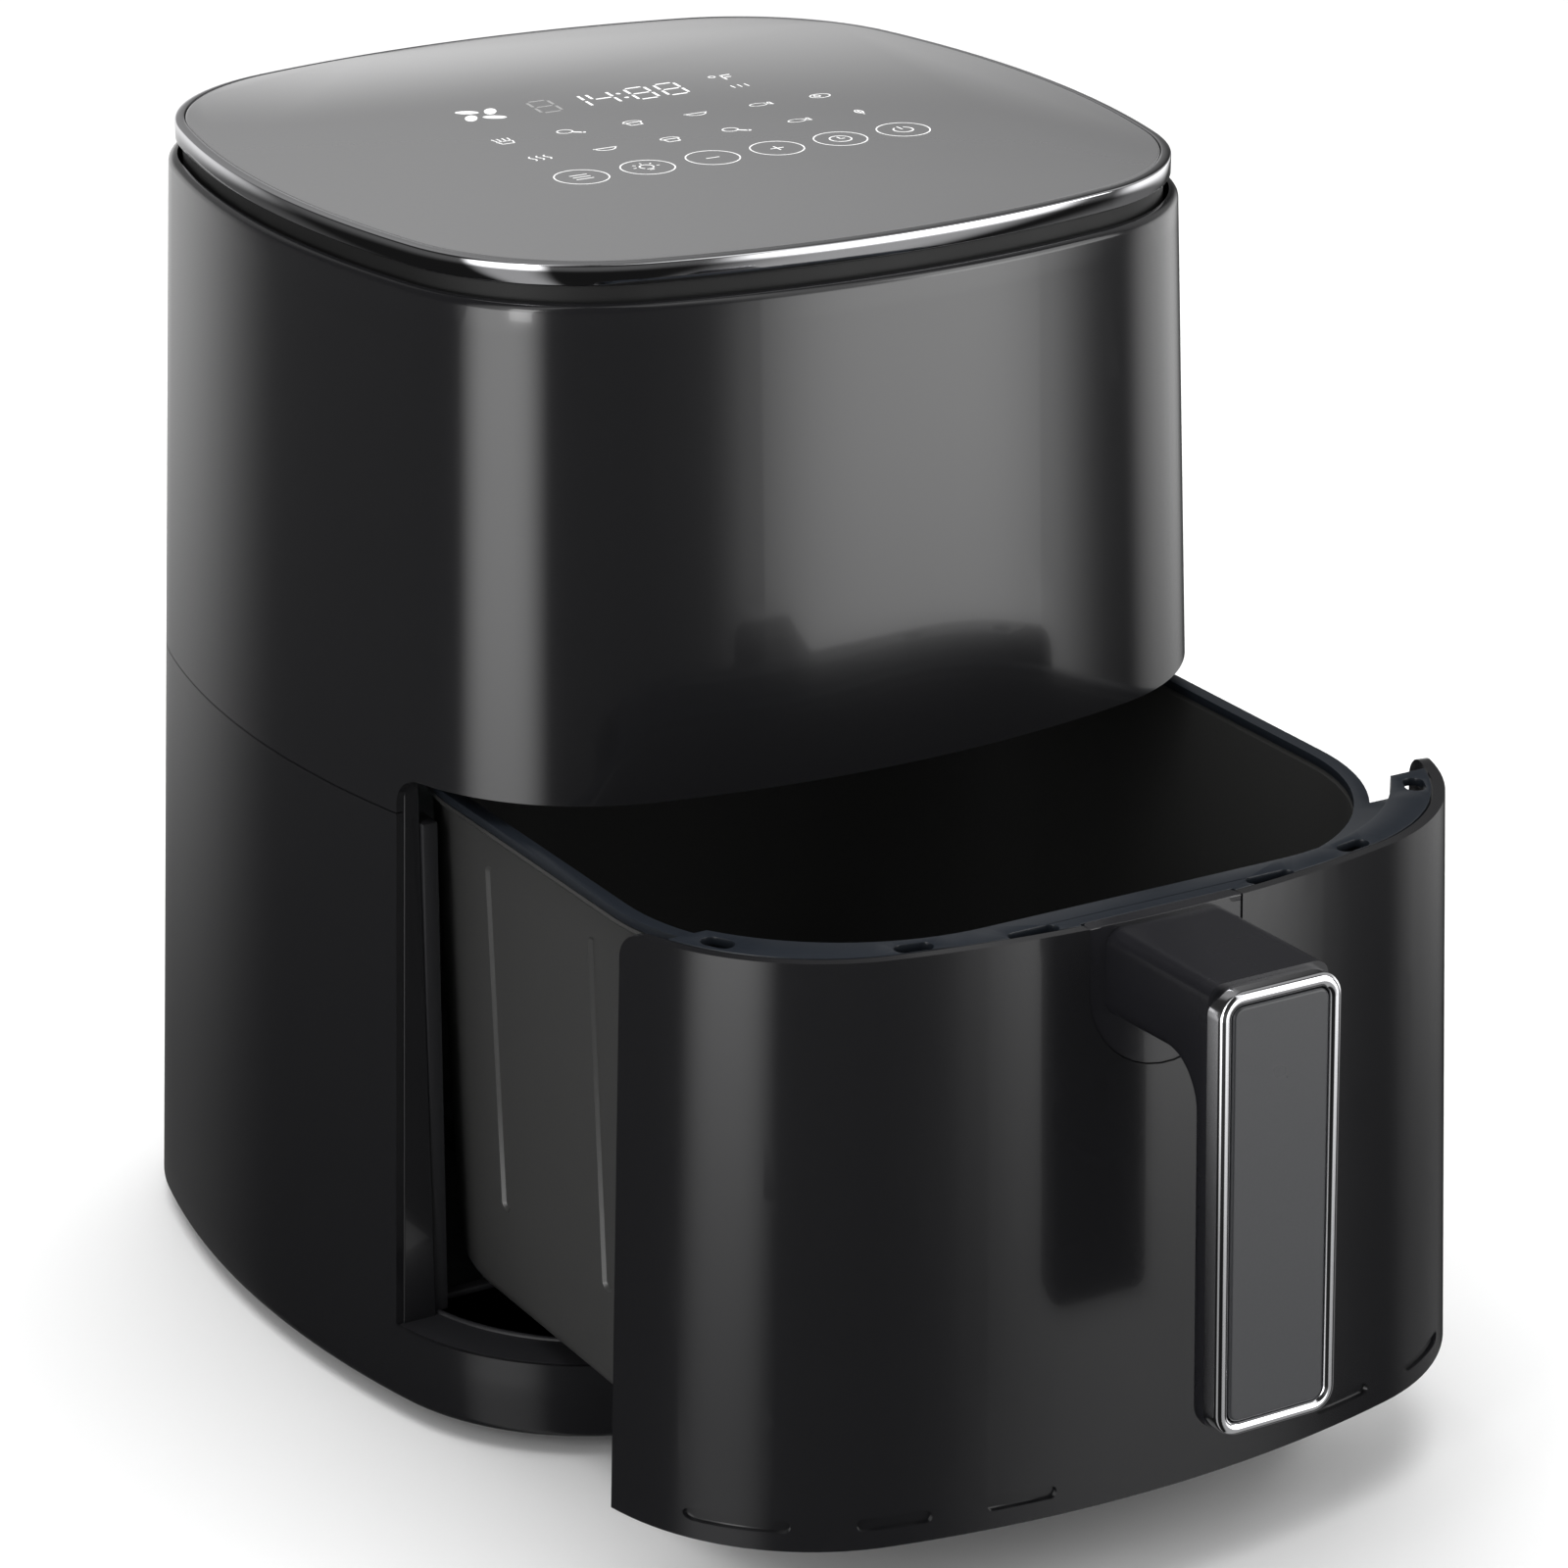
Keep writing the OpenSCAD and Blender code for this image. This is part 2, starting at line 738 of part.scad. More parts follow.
// A foot at each corner and one in the middle
module foot_places() {
    four(foot_at, foot_at) children();
    children();
}

module feet() {
    color("#0c0c0c") foot_places() {
        rod(foot_r, 0, foot_h - seat);
        rod(3.9, 1, foot_h + deck_t + 1);
        rod(4.6, foot_h + deck_t + seat, foot_h + deck_t + 2);
    }
}

module base_screws() {
    color("#c9cbce") four(boss_x, boss_y) {
        rod(screw_r, foot_h - 1, foot_h + 11);
        rod(head_r, foot_h - 2.2, foot_h - seat);
    }
}

// ---- drawer ----
panel_t = 1.8;
stud_x = 36;
stud_z = [tub_z0 + 30, tub_z1 - 26];
arm_z = grip_top - arm_h / 2;
screw_x = 9;
hook_t = 1.8;
hook_deep = 5;
hook_z = front_z1 - hook_t;
pad_h = 39;

// Outline of the tub at height z, set in by inset
function tub_at(z) = tub_hw + tub_t - tan(tub_draft) * (tub_z1 - z);

module tub_form(inset, z0, z1) {
    a0 = tub_at(z0) - inset;
    a1 = tub_at(z1) - inset;
    translate([0, 0, z0]) linear_extrude(height = z1 - z0, scale = a1 / a0)
        polygon(soft_outline(a0, tub_r * a0 / tub_hw));
}

// The pad's shape seen from the front: straight sides and a half-round foot
module pad_prism(grow, back) {
    r = pad_w / 2 + grow;
    foot_z = front_z1 - pad_h + pad_w / 2;
    rotate([90, 0, 0]) linear_extrude(height = body_w) {
        translate([-r, foot_z]) square([2 * r, front_z1 - foot_z + back]);
        translate([0, foot_z]) circle(r);
    }
}

// Room for the pad's hook over the top edge
module hook_room(extra) {
    w = pad_w / 2 + fit;
    block(-w, w, -body_w, hook_deep + extra - wall_at(front_z1), hook_z - fit, body_h);
}

module drawer_front() {
    color("#121213") pulled_out() difference() {
        union() {
            intersection() {
                body_shell(0, front_t, front_z0, front_z1);
                front_region(edge_gap, front_z0 - cut, front_z1, opening_r - edge_gap);
            }
            difference() {
                intersection() {
                    body_form(1, front_z0, front_z0 + deck_t);
                    front_region(edge_gap + 2, front_z0 - cut, front_z1, 1);
                }
                soft_plate(ring_hw - panel_t, tub_r + ring_reach - panel_t, 0, body_h);
            }
        }
        difference() {
            pad_prism(fit, cut);
            body_form(pad_t + 0.1, foot_h, body_h);
        }
        hook_room(0);
        for (x = [-screw_x, screw_x]) rod_y(2.2, x, arm_z, -body_w, 0);
        for (x = [-74, -41, 58]) block(x - 9, x + 9, -body_w, 0.8 - wall_at(foot_h + 29), 33, 36.5);
    }
}

module ring_sector(z0, z1) {
    block(-body_w, body_w, -body_w, -ring_end, z0, z1);
}

module drawer_ring() {
    r = tub_r;
    color("#1b1e22") pulled_out() difference() {
        union() {
            soft_wall(tub_hw, r, rim_w - 0.5, rim_z - ring_t, rim_z);
            intersection() {
                union() {
                    soft_wall(tub_hw, r, ring_reach + panel_t, rim_z - ring_t, rim_z);
                    soft_wall(ring_hw, r + ring_reach, panel_t, rim_z - ring_t, front_z1);
                    difference() {
                        body_form(front_t + fit, front_z1 - 2.2, front_z1);
                        soft_plate(ring_hw, r + ring_reach, 0, body_h);
                    }
                }
                ring_sector(0, body_h);
            }
        }
        for (x = [-35, 35]) ring_slot(x, -(wall_at(front_z1) + ring_hw) / 2 - 1, 0, 14, 4.6);
        for (s = [-1, 1]) ring_slot(s * 65, -ring_hw - 2, s * 12, 10, 5);
        for (s = [-1, 1]) ring_slot(s * 104, -ring_end - 8, s * 62, 9, 5.5);
        hook_room(fit);
    }
}

// Round-ended slot through the raised part of the ring
module ring_slot(x, y, turn, length, width) {
    translate([x, y, front_z1 - 5]) rotate([0, 0, turn]) linear_extrude(height = 10) {
        square([length - width, width], center = true);
        for (s = [-1, 1]) translate([s * (length - width) / 2, 0]) circle(width / 2);
    }
}

module drawer_inner_panel() {
    color("#17181a") pulled_out() difference() {
        intersection() {
            soft_wall(ring_hw, tub_r + ring_reach, panel_t, front_z0 + deck_t + seat, rim_z - ring_t - seat);
            ring_sector(0, body_h);
        }
        for (x = [-stud_x, stud_x], z = stud_z) rod_y(1.8, x, z, -body_w, 0);
    }
}

module drawer_tub() {
    floor_z = tub_z0 + tub_t;
    groove_y = 27;
    groove_r = 1.75;
    color("#3a3b3c") pulled_out() difference() {
        union() {
            tub_form(0, tub_z0, tub_z1);
            soft_plate(rim_hw, tub_r + rim_w, tub_z1 - flange_t, tub_z1);
        }
        tub_form(tub_t, floor_z, tub_z1 + cut);
        for (s = [-1, 1], y = [-groove_y, groove_y])
            translate([s * (tub_at(tub_z0 + 31) + groove_r - 0.7), y, tub_z0 + 31])
                rotate([0, s * tub_draft, 0]) cylinder(r = groove_r, h = tub_z1 - tub_z0 - 44);
    }
}

module tub_studs() {
    color("#4a4b4c") pulled_out() for (x = [-stud_x, stud_x], z = stud_z) difference() {
        rod_y(4, x, z, -ring_hw + seat, -tub_at(z + 4) - seat);
        rod_y(screw_r + 0.05, x, z, -ring_hw - cut, -tub_at(z + 4) - 1);
    }
}

module tub_screws() {
    y = -ring_hw - panel_t - seat;
    color("#c9cbce") pulled_out() for (x = [-stud_x, stud_x], z = stud_z) {
        rod_y(screw_r, x, z, y - 1, y + 6);
        rod_y(head_r, x, z, y - 2.2, y);
    }
}

module handle_pad() {
    y = -wall_at(front_z1);
    color("#18191b") pulled_out() difference() {
        union() {
            difference() {
                intersection() {
                    pad_prism(0, 0);
                    body_form(0, foot_h, front_z1);
                }
                body_form(pad_t, 0, body_h);
            }
            difference() {
                intersection() {
                    block(-pad_w / 2, pad_w / 2, 2 * y, y + hook_deep, hook_z, front_z1);
                    body_form(0, foot_h, front_z1);
                }
                for (s = [-1, 1]) translate([s * pad_w / 2, y + hook_deep, 0]) rotate([0, 0, 45])
                    cube([3.6, 3.6, 2 * body_h], center = true);
            }
        }
        for (x = [-screw_x, screw_x]) rod_y(2.2, x, arm_z, -body_w, 0);
    }
}

// Arm and grip seen from the side, on the leaning front: [out from the front, up]
function grip_side() =
    let (up = (grip_top - foot_h) / cos(lean), low = up - grip_l, under = up - arm_h)
    let (face = handle_out - frame_t - seat, back = handle_out - grip_t, bend = 12, heel = 5)
    concat(
        [[3, up], [-face, up - handle_out * tan(lean)], [-face, low]],
        [for (i = [0 : 6]) let (t = 270 + 15 * i)
            [heel * cos(t) - back - heel, low + heel + heel * sin(t)]],
        [for (i = [0 : 8]) let (t = 180 - 90 * i / 8)
            [bend * cos(t) - back + bend, under - bend + bend * sin(t)]],
        [[3, under]]);

// Grip seen from the front, with round corners
module grip_face(inset, r) {
    up = (grip_top - foot_h) / cos(lean) - handle_out * tan(lean) - inset;
    low = (grip_top - foot_h) / cos(lean) - grip_l + inset;
    w = handle_w / 2 - inset;
    translate([-w + r, low]) square([2 * (w - r), up - low]);
    translate([-w, low + r]) square([2 * w, up - low - 2 * r]);
    for (s = [-1, 1], z = [low + r, up - r]) translate([s * (w - r), z]) circle(r);
}

module grip_solid(inset, r, y0, y1) {
    translate([0, y1, 0]) rotate([90, 0, 0]) linear_extrude(height = y1 - y0) grip_face(inset, r);
}

grip_r = 6.5;

module handle_body() {
    color("#151617") pulled_out() difference() {
        on_front() intersection() {
            rotate([90, 0, 90]) linear_extrude(height = handle_w, center = true) polygon(grip_side());
            union() {
                grip_solid(0, grip_r, -handle_out, -handle_out + grip_t + 6);
                translate([0, 0, 2.5]) grip_solid(0, grip_r, -handle_out, 4);
            }
        }
        body_form(-0.1, foot_h, body_h);
        for (x = [-screw_x, screw_x]) rod_y(1.95, x, arm_z, -wall_at(arm_z) - 18, 0);
    }
}

module handle_frame() {
    color("#dcdde0") pulled_out() on_front() difference() {
        grip_solid(0, grip_r, -handle_out, -handle_out + frame_t);
        grip_solid(frame_w, grip_r - frame_w + 0.5, -handle_out - cut, -handle_out + frame_t + cut);
    }
}

module handle_inlay() {
    inset = frame_w + 0.1;
    color("#4c4d4f") pulled_out() on_front()
        grip_solid(inset, grip_r - inset + 0.5, -handle_out + 0.3, -handle_out + frame_t);
}

module handle_screws() {
    y = -wall_at(arm_z);
    color("#c9cbce") pulled_out() for (x = [-screw_x, screw_x]) {
        rod_y(1.9, x, arm_z, y - 16, y + front_t + 1);
        rod_y(3.6, x, arm_z, y + front_t + 0.6, y + front_t + 3);
    }
}

plate_gap = 2;
plate_hw = tub_at(plate_z) - tub_t - plate_gap;
plate_r = tub_r * plate_hw / tub_hw;

// Perforated plate with a raised collar round its middle hole, by which it is lifted
module crisper_plate() {
    pitch = 22;
    hole_r = 5;
    grip_hole_r = 12;
    top = plate_z + plate_t;
    collar_h = 3;
    color("#2c2d2e") pulled_out() {
        difference() {
            soft_plate(plate_hw, plate_r, plate_z, top);
            for (i = [-3 : 3], j = [-3 : 3]) if (abs(i) + abs(j) > 1) translate([i * pitch, j * pitch, 0])
                rod(hole_r, plate_z - cut, top + cut);
            rod(grip_hole_r, plate_z - cut, top + cut);
        }
        difference() {
            rod(grip_hole_r + 3, top - 0.5, top + collar_h);
            rod(grip_hole_r, plate_z, top + collar_h + cut);
        }
    }
}

// Each foot reaches just past the plate's round corner
module plate_feet() {
    r = 6;
    at = plate_hw - plate_r + (plate_r - r + 0.5) / sqrt(2);
    color("#8f2f25") pulled_out() four(at, at) rod(r, tub_z0 + tub_t + 0.3, plate_z - seat);
}

upper_housing();
lower_housing();
chrome_band();
top_glass();
top_frame();
board_tray();
control_board();
display_module();
touch_springs();
inner_deck();
reflector_pan();
heating_tube();
heater_bushes();
heater_guard();
chamber_liner();
chamber_floor();
chamber_posts();
guide_rails();
air_fan();
fan_nut();
motor_shaft();
motor_rotor();
motor_core();
motor_coils();
lower_bracket();
upper_bracket();
lower_bush();
upper_bush();
motor_bolts();
cooling_fan();
power_board();
thermal_cutout();
temperature_probe();
exhaust_duct();
rear_vent();
drawer_switch();
switch_plunger();
bottom_plate();
feet();
base_screws();
cord_inlet();
drawer_front();
drawer_ring();
drawer_inner_panel();
drawer_tub();
tub_studs();
tub_screws();
handle_pad();
handle_body();
handle_frame();
handle_inlay();
handle_screws();
crisper_plate();
plate_feet();
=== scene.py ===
# %% [markdown]
# # A drawer air fryer, finished around its engineering model
# The engineering model gives every piece its place and size. This lesson builds the surfaces
# that a buyer sees: gloss housings, a glass top in a bright band, a coated tub and a framed
# handle. Each shape starts from a few points and grows by mesh operators, so that it can be
# followed and changed.

import json
import math

import bmesh
import bpy
from mathutils import Matrix, Vector


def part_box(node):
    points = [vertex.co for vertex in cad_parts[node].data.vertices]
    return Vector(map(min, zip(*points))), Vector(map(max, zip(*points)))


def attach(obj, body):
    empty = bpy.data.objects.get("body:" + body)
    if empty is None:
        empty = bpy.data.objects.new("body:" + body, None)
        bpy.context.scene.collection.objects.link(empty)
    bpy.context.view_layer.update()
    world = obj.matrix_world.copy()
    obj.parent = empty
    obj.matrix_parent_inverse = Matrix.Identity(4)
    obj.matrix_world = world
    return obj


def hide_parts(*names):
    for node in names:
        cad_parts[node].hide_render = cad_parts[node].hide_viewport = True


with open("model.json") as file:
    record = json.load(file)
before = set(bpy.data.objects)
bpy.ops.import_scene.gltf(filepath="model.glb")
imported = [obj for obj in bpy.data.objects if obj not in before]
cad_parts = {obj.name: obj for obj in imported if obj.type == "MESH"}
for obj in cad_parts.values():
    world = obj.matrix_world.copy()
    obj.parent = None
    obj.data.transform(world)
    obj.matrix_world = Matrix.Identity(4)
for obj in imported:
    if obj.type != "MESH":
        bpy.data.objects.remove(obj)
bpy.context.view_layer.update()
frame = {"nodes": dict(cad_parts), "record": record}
print("pieces in the frame:", len(frame["nodes"]))

# %% [markdown]
# ## Driving sizes
# The script works in metres. The body stands on its feet and draws in by a constant taper, so
# one function gives its half width at any height. Sizes that the model already holds are read
# from it, and the rest are named here once.

# %% Sizes of the body
MM = 0.001
SAME = 1e-6
CUT_WITHIN = 1e-7
EDGE_ANGLE, SPLIT_ANGLE = math.radians(40), math.radians(32)
FOOT = 5 * MM
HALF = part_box("lower_housing")[1].x
TAPER = 0.0393
SIDE_R = 329.3 * MM
CORNER_R = 66.8 * MM
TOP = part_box("chrome_band")[1].z + 0.1 * MM
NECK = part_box("upper_housing")[1].z
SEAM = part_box("upper_housing")[0].z
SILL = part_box("chamber_floor")[0].z - 0.1 * MM
OUT = -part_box("crisper_plate")[0].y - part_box("crisper_plate")[1].x
FRONT_Z = (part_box("drawer_front")[0].z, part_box("drawer_front")[1].z)
OPENING_TOP = FRONT_Z[1] + 0.5 * MM
REACH = 72.2 * MM
EDGE_LEAN = math.atan(TAPER * REACH / HALF)


def wall_at(z):
    """Half width of the body at height z."""
    return HALF - TAPER * (z - FOOT)


print(f"half width {HALF:.4f}, drawer out {OUT:.4f}, opening up to {OPENING_TOP:.4f}")

# %% [markdown]
# ## Drawing outlines by swinging a point
# The body seen from above is a soft square: four shallow bows joined by four tighter arcs. One
# point swung about eight centres draws it exactly, and the arcs meet without a kink. The tub is
# a square with round corners, drawn by the same operator about four centres.

# %% Outline helpers
BOW = SIDE_R - HALF
CORNER_AT = (math.sqrt(8 * (SIDE_R - CORNER_R) ** 2 - 4 * BOW**2) - 2 * BOW) / 4
BOW_ANGLE = math.atan2(CORNER_AT, CORNER_AT + BOW)
SIDE_STEPS, CORNER_STEPS = 24, 20


def swing(bm, start, centre, angle, steps):
    """Swings one vertex about an upright line and returns the last vertex."""
    out = bmesh.ops.spin(bm, geom=[start], cent=centre, axis=(0, 0, 1), angle=angle, steps=steps)
    return out["geom_last"][0]


def body_ring(bm, half, z, shift=0.0):
    """The body's outline at one height, as a closed loop of edges."""
    old = set(bm.edges)
    grow = half / HALF
    place = Vector((0, shift, z))
    start = Vector((SIDE_R * math.cos(BOW_ANGLE) - BOW, -SIDE_R * math.sin(BOW_ANGLE), 0)) * grow
    first = end = bm.verts.new(start + place)
    for quarter in range(4):
        turn = Matrix.Rotation(quarter * math.pi / 2, 3, "Z")
        bow = turn @ Vector((-BOW, 0, 0)) * grow + place
        corner = turn @ Vector((CORNER_AT, CORNER_AT, 0)) * grow + place
        end = swing(bm, end, bow, 2 * BOW_ANGLE, SIDE_STEPS)
        end = swing(bm, end, corner, math.pi / 2 - 2 * BOW_ANGLE, CORNER_STEPS)
    bmesh.ops.weld_verts(bm, targetmap={end: first})
    return [e for e in bm.edges if e not in old]


def soft_ring(bm, half, radius, z, shift=0.0):
    """A square with round corners, as a closed loop of edges."""
    old = set(bm.edges)
    place = Vector((0, shift, z))
    ends = []
    for quarter in range(4):
        turn = Matrix.Rotation(quarter * math.pi / 2, 3, "Z")
        first = bm.verts.new(turn @ Vector((half, half - radius, 0)) + place)
        centre = turn @ Vector((half - radius, half - radius, 0)) + place
        ends.append((first, swing(bm, first, centre, math.pi / 2, CORNER_STEPS)))
    for i, (_, last) in enumerate(ends):
        bm.edges.new((last, ends[(i + 1) % 4][0]))
    return [e for e in bm.edges if e not in old]


def loft(bm, rings, closed=False):
    """Joins neighbouring loops with faces, and the last to the first if closed."""
    pairs = list(zip(rings, rings[1:])) + ([(rings[-1], rings[0])] if closed else [])
    for low, high in pairs:
        bmesh.ops.bridge_loops(bm, edges=low + high)
    bmesh.ops.recalc_face_normals(bm, faces=bm.faces)


def thicken(bm, faces, step):
    """Extrudes faces by a step into a solid."""
    made = bmesh.ops.extrude_face_region(bm, geom=list(faces))
    moved = [g for g in made["geom"] if isinstance(g, bmesh.types.BMVert)]
    bmesh.ops.translate(bm, vec=step, verts=moved)


def quarter_round(radius, steps=5):
    """(across, up) pairs along a quarter circle, from the wall to the top."""
    angles = [math.pi / 2 * i / steps for i in range(steps + 1)]
    return [(radius * (1 - math.cos(a)), radius * math.sin(a)) for a in angles]


print(f"corner centre at {CORNER_AT:.4f}, bow angle {math.degrees(BOW_ANGLE):.2f} degrees")

# %% [markdown]
# ## Cutting an opening out of a curved wall
# A boolean cut leaves ragged triangles on a gloss wall, and they show in every reflection.
# Cutting with planes keeps the wall's own faces. The opening is convex, so it is the part of
# the wall behind every plane of a list: one for each straight edge and one for each step of
# its round corner.

# %% Region helpers
def region(bm, planes, faces=None):
    """Cuts the mesh along each plane and returns the faces behind all of them."""
    inside = list(faces or bm.faces)
    for point, normal in planes:
        geom = set(inside)
        for face in inside:
            geom.update(face.edges)
            geom.update(face.verts)
        cut = bmesh.ops.bisect_plane(bm, geom=list(geom), plane_co=point, plane_no=normal,
                                     dist=CUT_WITHIN)
        found = [f for f in cut["geom"] if isinstance(f, bmesh.types.BMFace)]
        inside = [f for f in found if (f.calc_center_median() - point).dot(normal) < 0]
    return inside


def arc_planes(centre, radius, start, end, axes, steps=10):
    """Planes that touch an arc of that radius, between two angles, in the plane of two axes."""
    planes = []
    for i in range(steps + 1):
        angle = start + (end - start) * i / steps
        normal = axes[0] * math.cos(angle) + axes[1] * math.sin(angle)
        planes.append((centre + normal * radius, normal))
    return planes


X, Y, Z = Vector((1, 0, 0)), Vector((0, 1, 0)), Vector((0, 0, 1))


def front_planes(gap, radius, low=None, shift=0.0):
    """The region ahead of the leaning edge and below the opening's top, set in by a gap."""
    top = OPENING_TOP - gap / 2
    lean_normal = Y * math.cos(EDGE_LEAN) - Z * math.sin(EDGE_LEAN)
    edge = Vector((0, shift - REACH - gap, FOOT))
    arc_z = top - radius
    arc_y = edge.y + math.tan(EDGE_LEAN) * (arc_z - FOOT) - radius / math.cos(EDGE_LEAN)
    planes = [(edge, lean_normal)]
    planes += arc_planes(Vector((0, arc_y, arc_z)), radius, -EDGE_LEAN, math.pi / 2, (Y, Z))
    if low is not None:
        planes.append((Vector((0, 0, low)), -Z))
    return planes


def capsule_planes(middle, half_long, half_wide, long_axis, wide_axis):
    """Planes round a slot with two round ends."""
    planes = []
    for sign in (-1, 1):
        centre = middle + long_axis * sign * (half_long - half_wide)
        planes += arc_planes(centre, half_wide, -math.pi / 2, math.pi / 2,
                             (long_axis * sign, wide_axis), 6)
    return planes


# %% [markdown]
# ## Materials
# Moulded plastic is never one flat colour: it has a faint waviness that bends its highlights
# and a roughness that changes a little from place to place. Each finish below is one shader
# with those two read from noise in the piece's own coordinates.

# %% Material helper
def finish(name, color, rough, metal=0.0, vary=0.03, wave=0.0, wave_size=40.0, grain=0.0,
           grain_size=900.0, coat=0.0, specular=0.5, stretch=(1, 1, 1), tint=0.12):
    """A shader with its roughness, colour and relief varied by noise."""
    mat = bpy.data.materials.new(name)
    mat.use_nodes = True
    nodes, links = mat.node_tree.nodes, mat.node_tree.links
    shader = nodes["Principled BSDF"]
    shader.inputs["Metallic"].default_value = metal
    shader.inputs["Coat Weight"].default_value = coat
    shader.inputs["Coat Roughness"].default_value = 0.05
    shader.inputs["Specular IOR Level"].default_value = specular
    where = nodes.new("ShaderNodeTexCoord")
    mapping = nodes.new("ShaderNodeMapping")
    mapping.inputs["Scale"].default_value = stretch
    links.new(where.outputs["Object"], mapping.inputs["Vector"])
    cloud = nodes.new("ShaderNodeTexNoise")
    cloud.inputs["Scale"].default_value = wave_size
    cloud.inputs["Detail"].default_value = 3
    fine = nodes.new("ShaderNodeTexNoise")
    fine.inputs["Scale"].default_value = grain_size
    fine.inputs["Detail"].default_value = 2
    for noise in (cloud, fine):
        links.new(mapping.outputs["Vector"], noise.inputs["Vector"])
    spread = nodes.new("ShaderNodeMapRange")
    spread.inputs["To Min"].default_value = max(rough - vary, 0.02)
    spread.inputs["To Max"].default_value = rough + vary
    links.new(cloud.outputs["Fac"], spread.inputs["Value"])
    links.new(spread.outputs["Result"], shader.inputs["Roughness"])
    shade = nodes.new("ShaderNodeMix")
    shade.data_type = "RGBA"
    shade.inputs[6].default_value = (*[c * (1 - tint) for c in color], 1)
    shade.inputs[7].default_value = (*[c * (1 + tint) for c in color], 1)
    links.new(fine.outputs["Fac"], shade.inputs[0])
    links.new(shade.outputs[2], shader.inputs["Base Color"])
    if wave or grain:
        low = nodes.new("ShaderNodeBump")
        low.inputs["Strength"].default_value = 1
        low.inputs["Distance"].default_value = wave
        links.new(cloud.outputs["Fac"], low.inputs["Height"])
        top = nodes.new("ShaderNodeBump")
        top.inputs["Strength"].default_value = 1
        top.inputs["Distance"].default_value = grain
        links.new(fine.outputs["Fac"], top.inputs["Height"])
        links.new(low.outputs["Normal"], top.inputs["Normal"])
        links.new(top.outputs["Normal"], shader.inputs["Normal"])
    return mat


# %% The finishes
MATERIALS = {
    "gloss_black": finish("gloss_black", (0.010, 0.010, 0.011), 0.17, vary=0.02, wave=2e-5,
                          wave_size=14, grain=1e-6, coat=0.35),
    "pad_black": finish("pad_black", (0.012, 0.012, 0.014), 0.22, vary=0.03, wave=1e-5, coat=0.3),
    "grip_black": finish("grip_black", (0.010, 0.010, 0.012), 0.27, vary=0.04, grain=3e-6,
                         specular=0.4),
    "bright_band": finish("bright_band", (0.80, 0.80, 0.82), 0.07, metal=1, vary=0.02, wave=1e-5,
                          tint=0.02),
    "bright_frame": finish("bright_frame", (0.83, 0.83, 0.85), 0.08, metal=1, vary=0.02, wave=1e-5,
                           tint=0.02),
    "inlay_grey": finish("inlay_grey", (0.034, 0.035, 0.038), 0.28, vary=0.015, grain=8e-7,
                         grain_size=1500),
    "smoked_glass": finish("smoked_glass", (0.165, 0.165, 0.167), 0.05, vary=0.01, specular=0.9,
                           tint=0.02, coat=0.4),
    "print_white": finish("print_white", (0.85, 0.85, 0.85), 0.5, vary=0.05),
    "ghost_grey": finish("ghost_grey", (0.30, 0.30, 0.30), 0.4, vary=0.05),
    "groove_black": finish("groove_black", (0.006, 0.006, 0.006), 0.6, vary=0.08, grain=8e-6),
    "ring_plastic": finish("ring_plastic", (0.012, 0.015, 0.020), 0.34, vary=0.05, grain=4e-6),
    "coated_tub": finish("coated_tub", (0.062, 0.062, 0.061), 0.33, metal=0.35, vary=0.05,
                         grain=6e-6, grain_size=1600),
    "coated_plate": finish("coated_plate", (0.035, 0.035, 0.036), 0.38, metal=0.3, vary=0.05,
                           grain=6e-6, grain_size=1600),
    "plate_rubber": finish("plate_rubber", (0.30, 0.03, 0.02), 0.6, grain=6e-6),
    "foot_rubber": finish("foot_rubber", (0.012, 0.012, 0.012), 0.7, grain=1e-5),
    "base_plastic": finish("base_plastic", (0.016, 0.016, 0.018), 0.5, vary=0.06, grain=8e-6),
    "switch_plastic": finish("switch_plastic", (0.012, 0.012, 0.014), 0.5, grain=5e-6),
    "plunger_plastic": finish("plunger_plastic", (0.42, 0.03, 0.02), 0.35, grain=3e-6),
    "pan_steel": finish("pan_steel", (0.50, 0.51, 0.52), 0.30, metal=1, vary=0.06, grain=4e-6,
                        grain_size=300, stretch=(1, 1, 12)),
    "guard_steel": finish("guard_steel", (0.60, 0.60, 0.62), 0.22, metal=1, vary=0.05),
    "bracket_steel": finish("bracket_steel", (0.55, 0.56, 0.58), 0.33, metal=1, grain=3e-6),
    "screw_steel": finish("screw_steel", (0.58, 0.58, 0.60), 0.28, metal=1, grain=3e-6),
    "shaft_steel": finish("shaft_steel", (0.50, 0.50, 0.52), 0.25, metal=1, grain=3e-6,
                          grain_size=500, stretch=(1, 1, 20)),
    "heater_tube": finish("heater_tube", (0.10, 0.10, 0.11), 0.48, metal=0.8, vary=0.08,
                          grain=8e-6),
    "ceramic_white": finish("ceramic_white", (0.72, 0.70, 0.62), 0.55, grain=5e-6),
    "fan_aluminium": finish("fan_aluminium", (0.66, 0.67, 0.68), 0.32, metal=1, grain=5e-6),
    "bronze": finish("bronze", (0.45, 0.30, 0.12), 0.4, metal=1, grain=8e-6),
    "copper_wire": finish("copper_wire", (0.55, 0.22, 0.09), 0.35, metal=0.8, grain=3e-5,
                          grain_size=500, stretch=(1, 6, 1)),
    "spring_metal": finish("spring_metal", (0.62, 0.42, 0.18), 0.3, metal=1),
    "board_green": finish("board_green", (0.02, 0.11, 0.045), 0.38, grain=6e-6, tint=0.3),
    "display_white": finish("display_white", (0.75, 0.75, 0.77), 0.45),
}
print("finishes:", len(MATERIALS))

# %% [markdown]
# ## Giving the engineering pieces their finish
# Most pieces keep their engineering shape. Their meshes are loose triangles, so a weld joins
# them, a small bevel breaks the edges as a mould or a deburring tool would, and smooth shading
# follows the curves. Modifiers leave the engineering mesh itself alone.

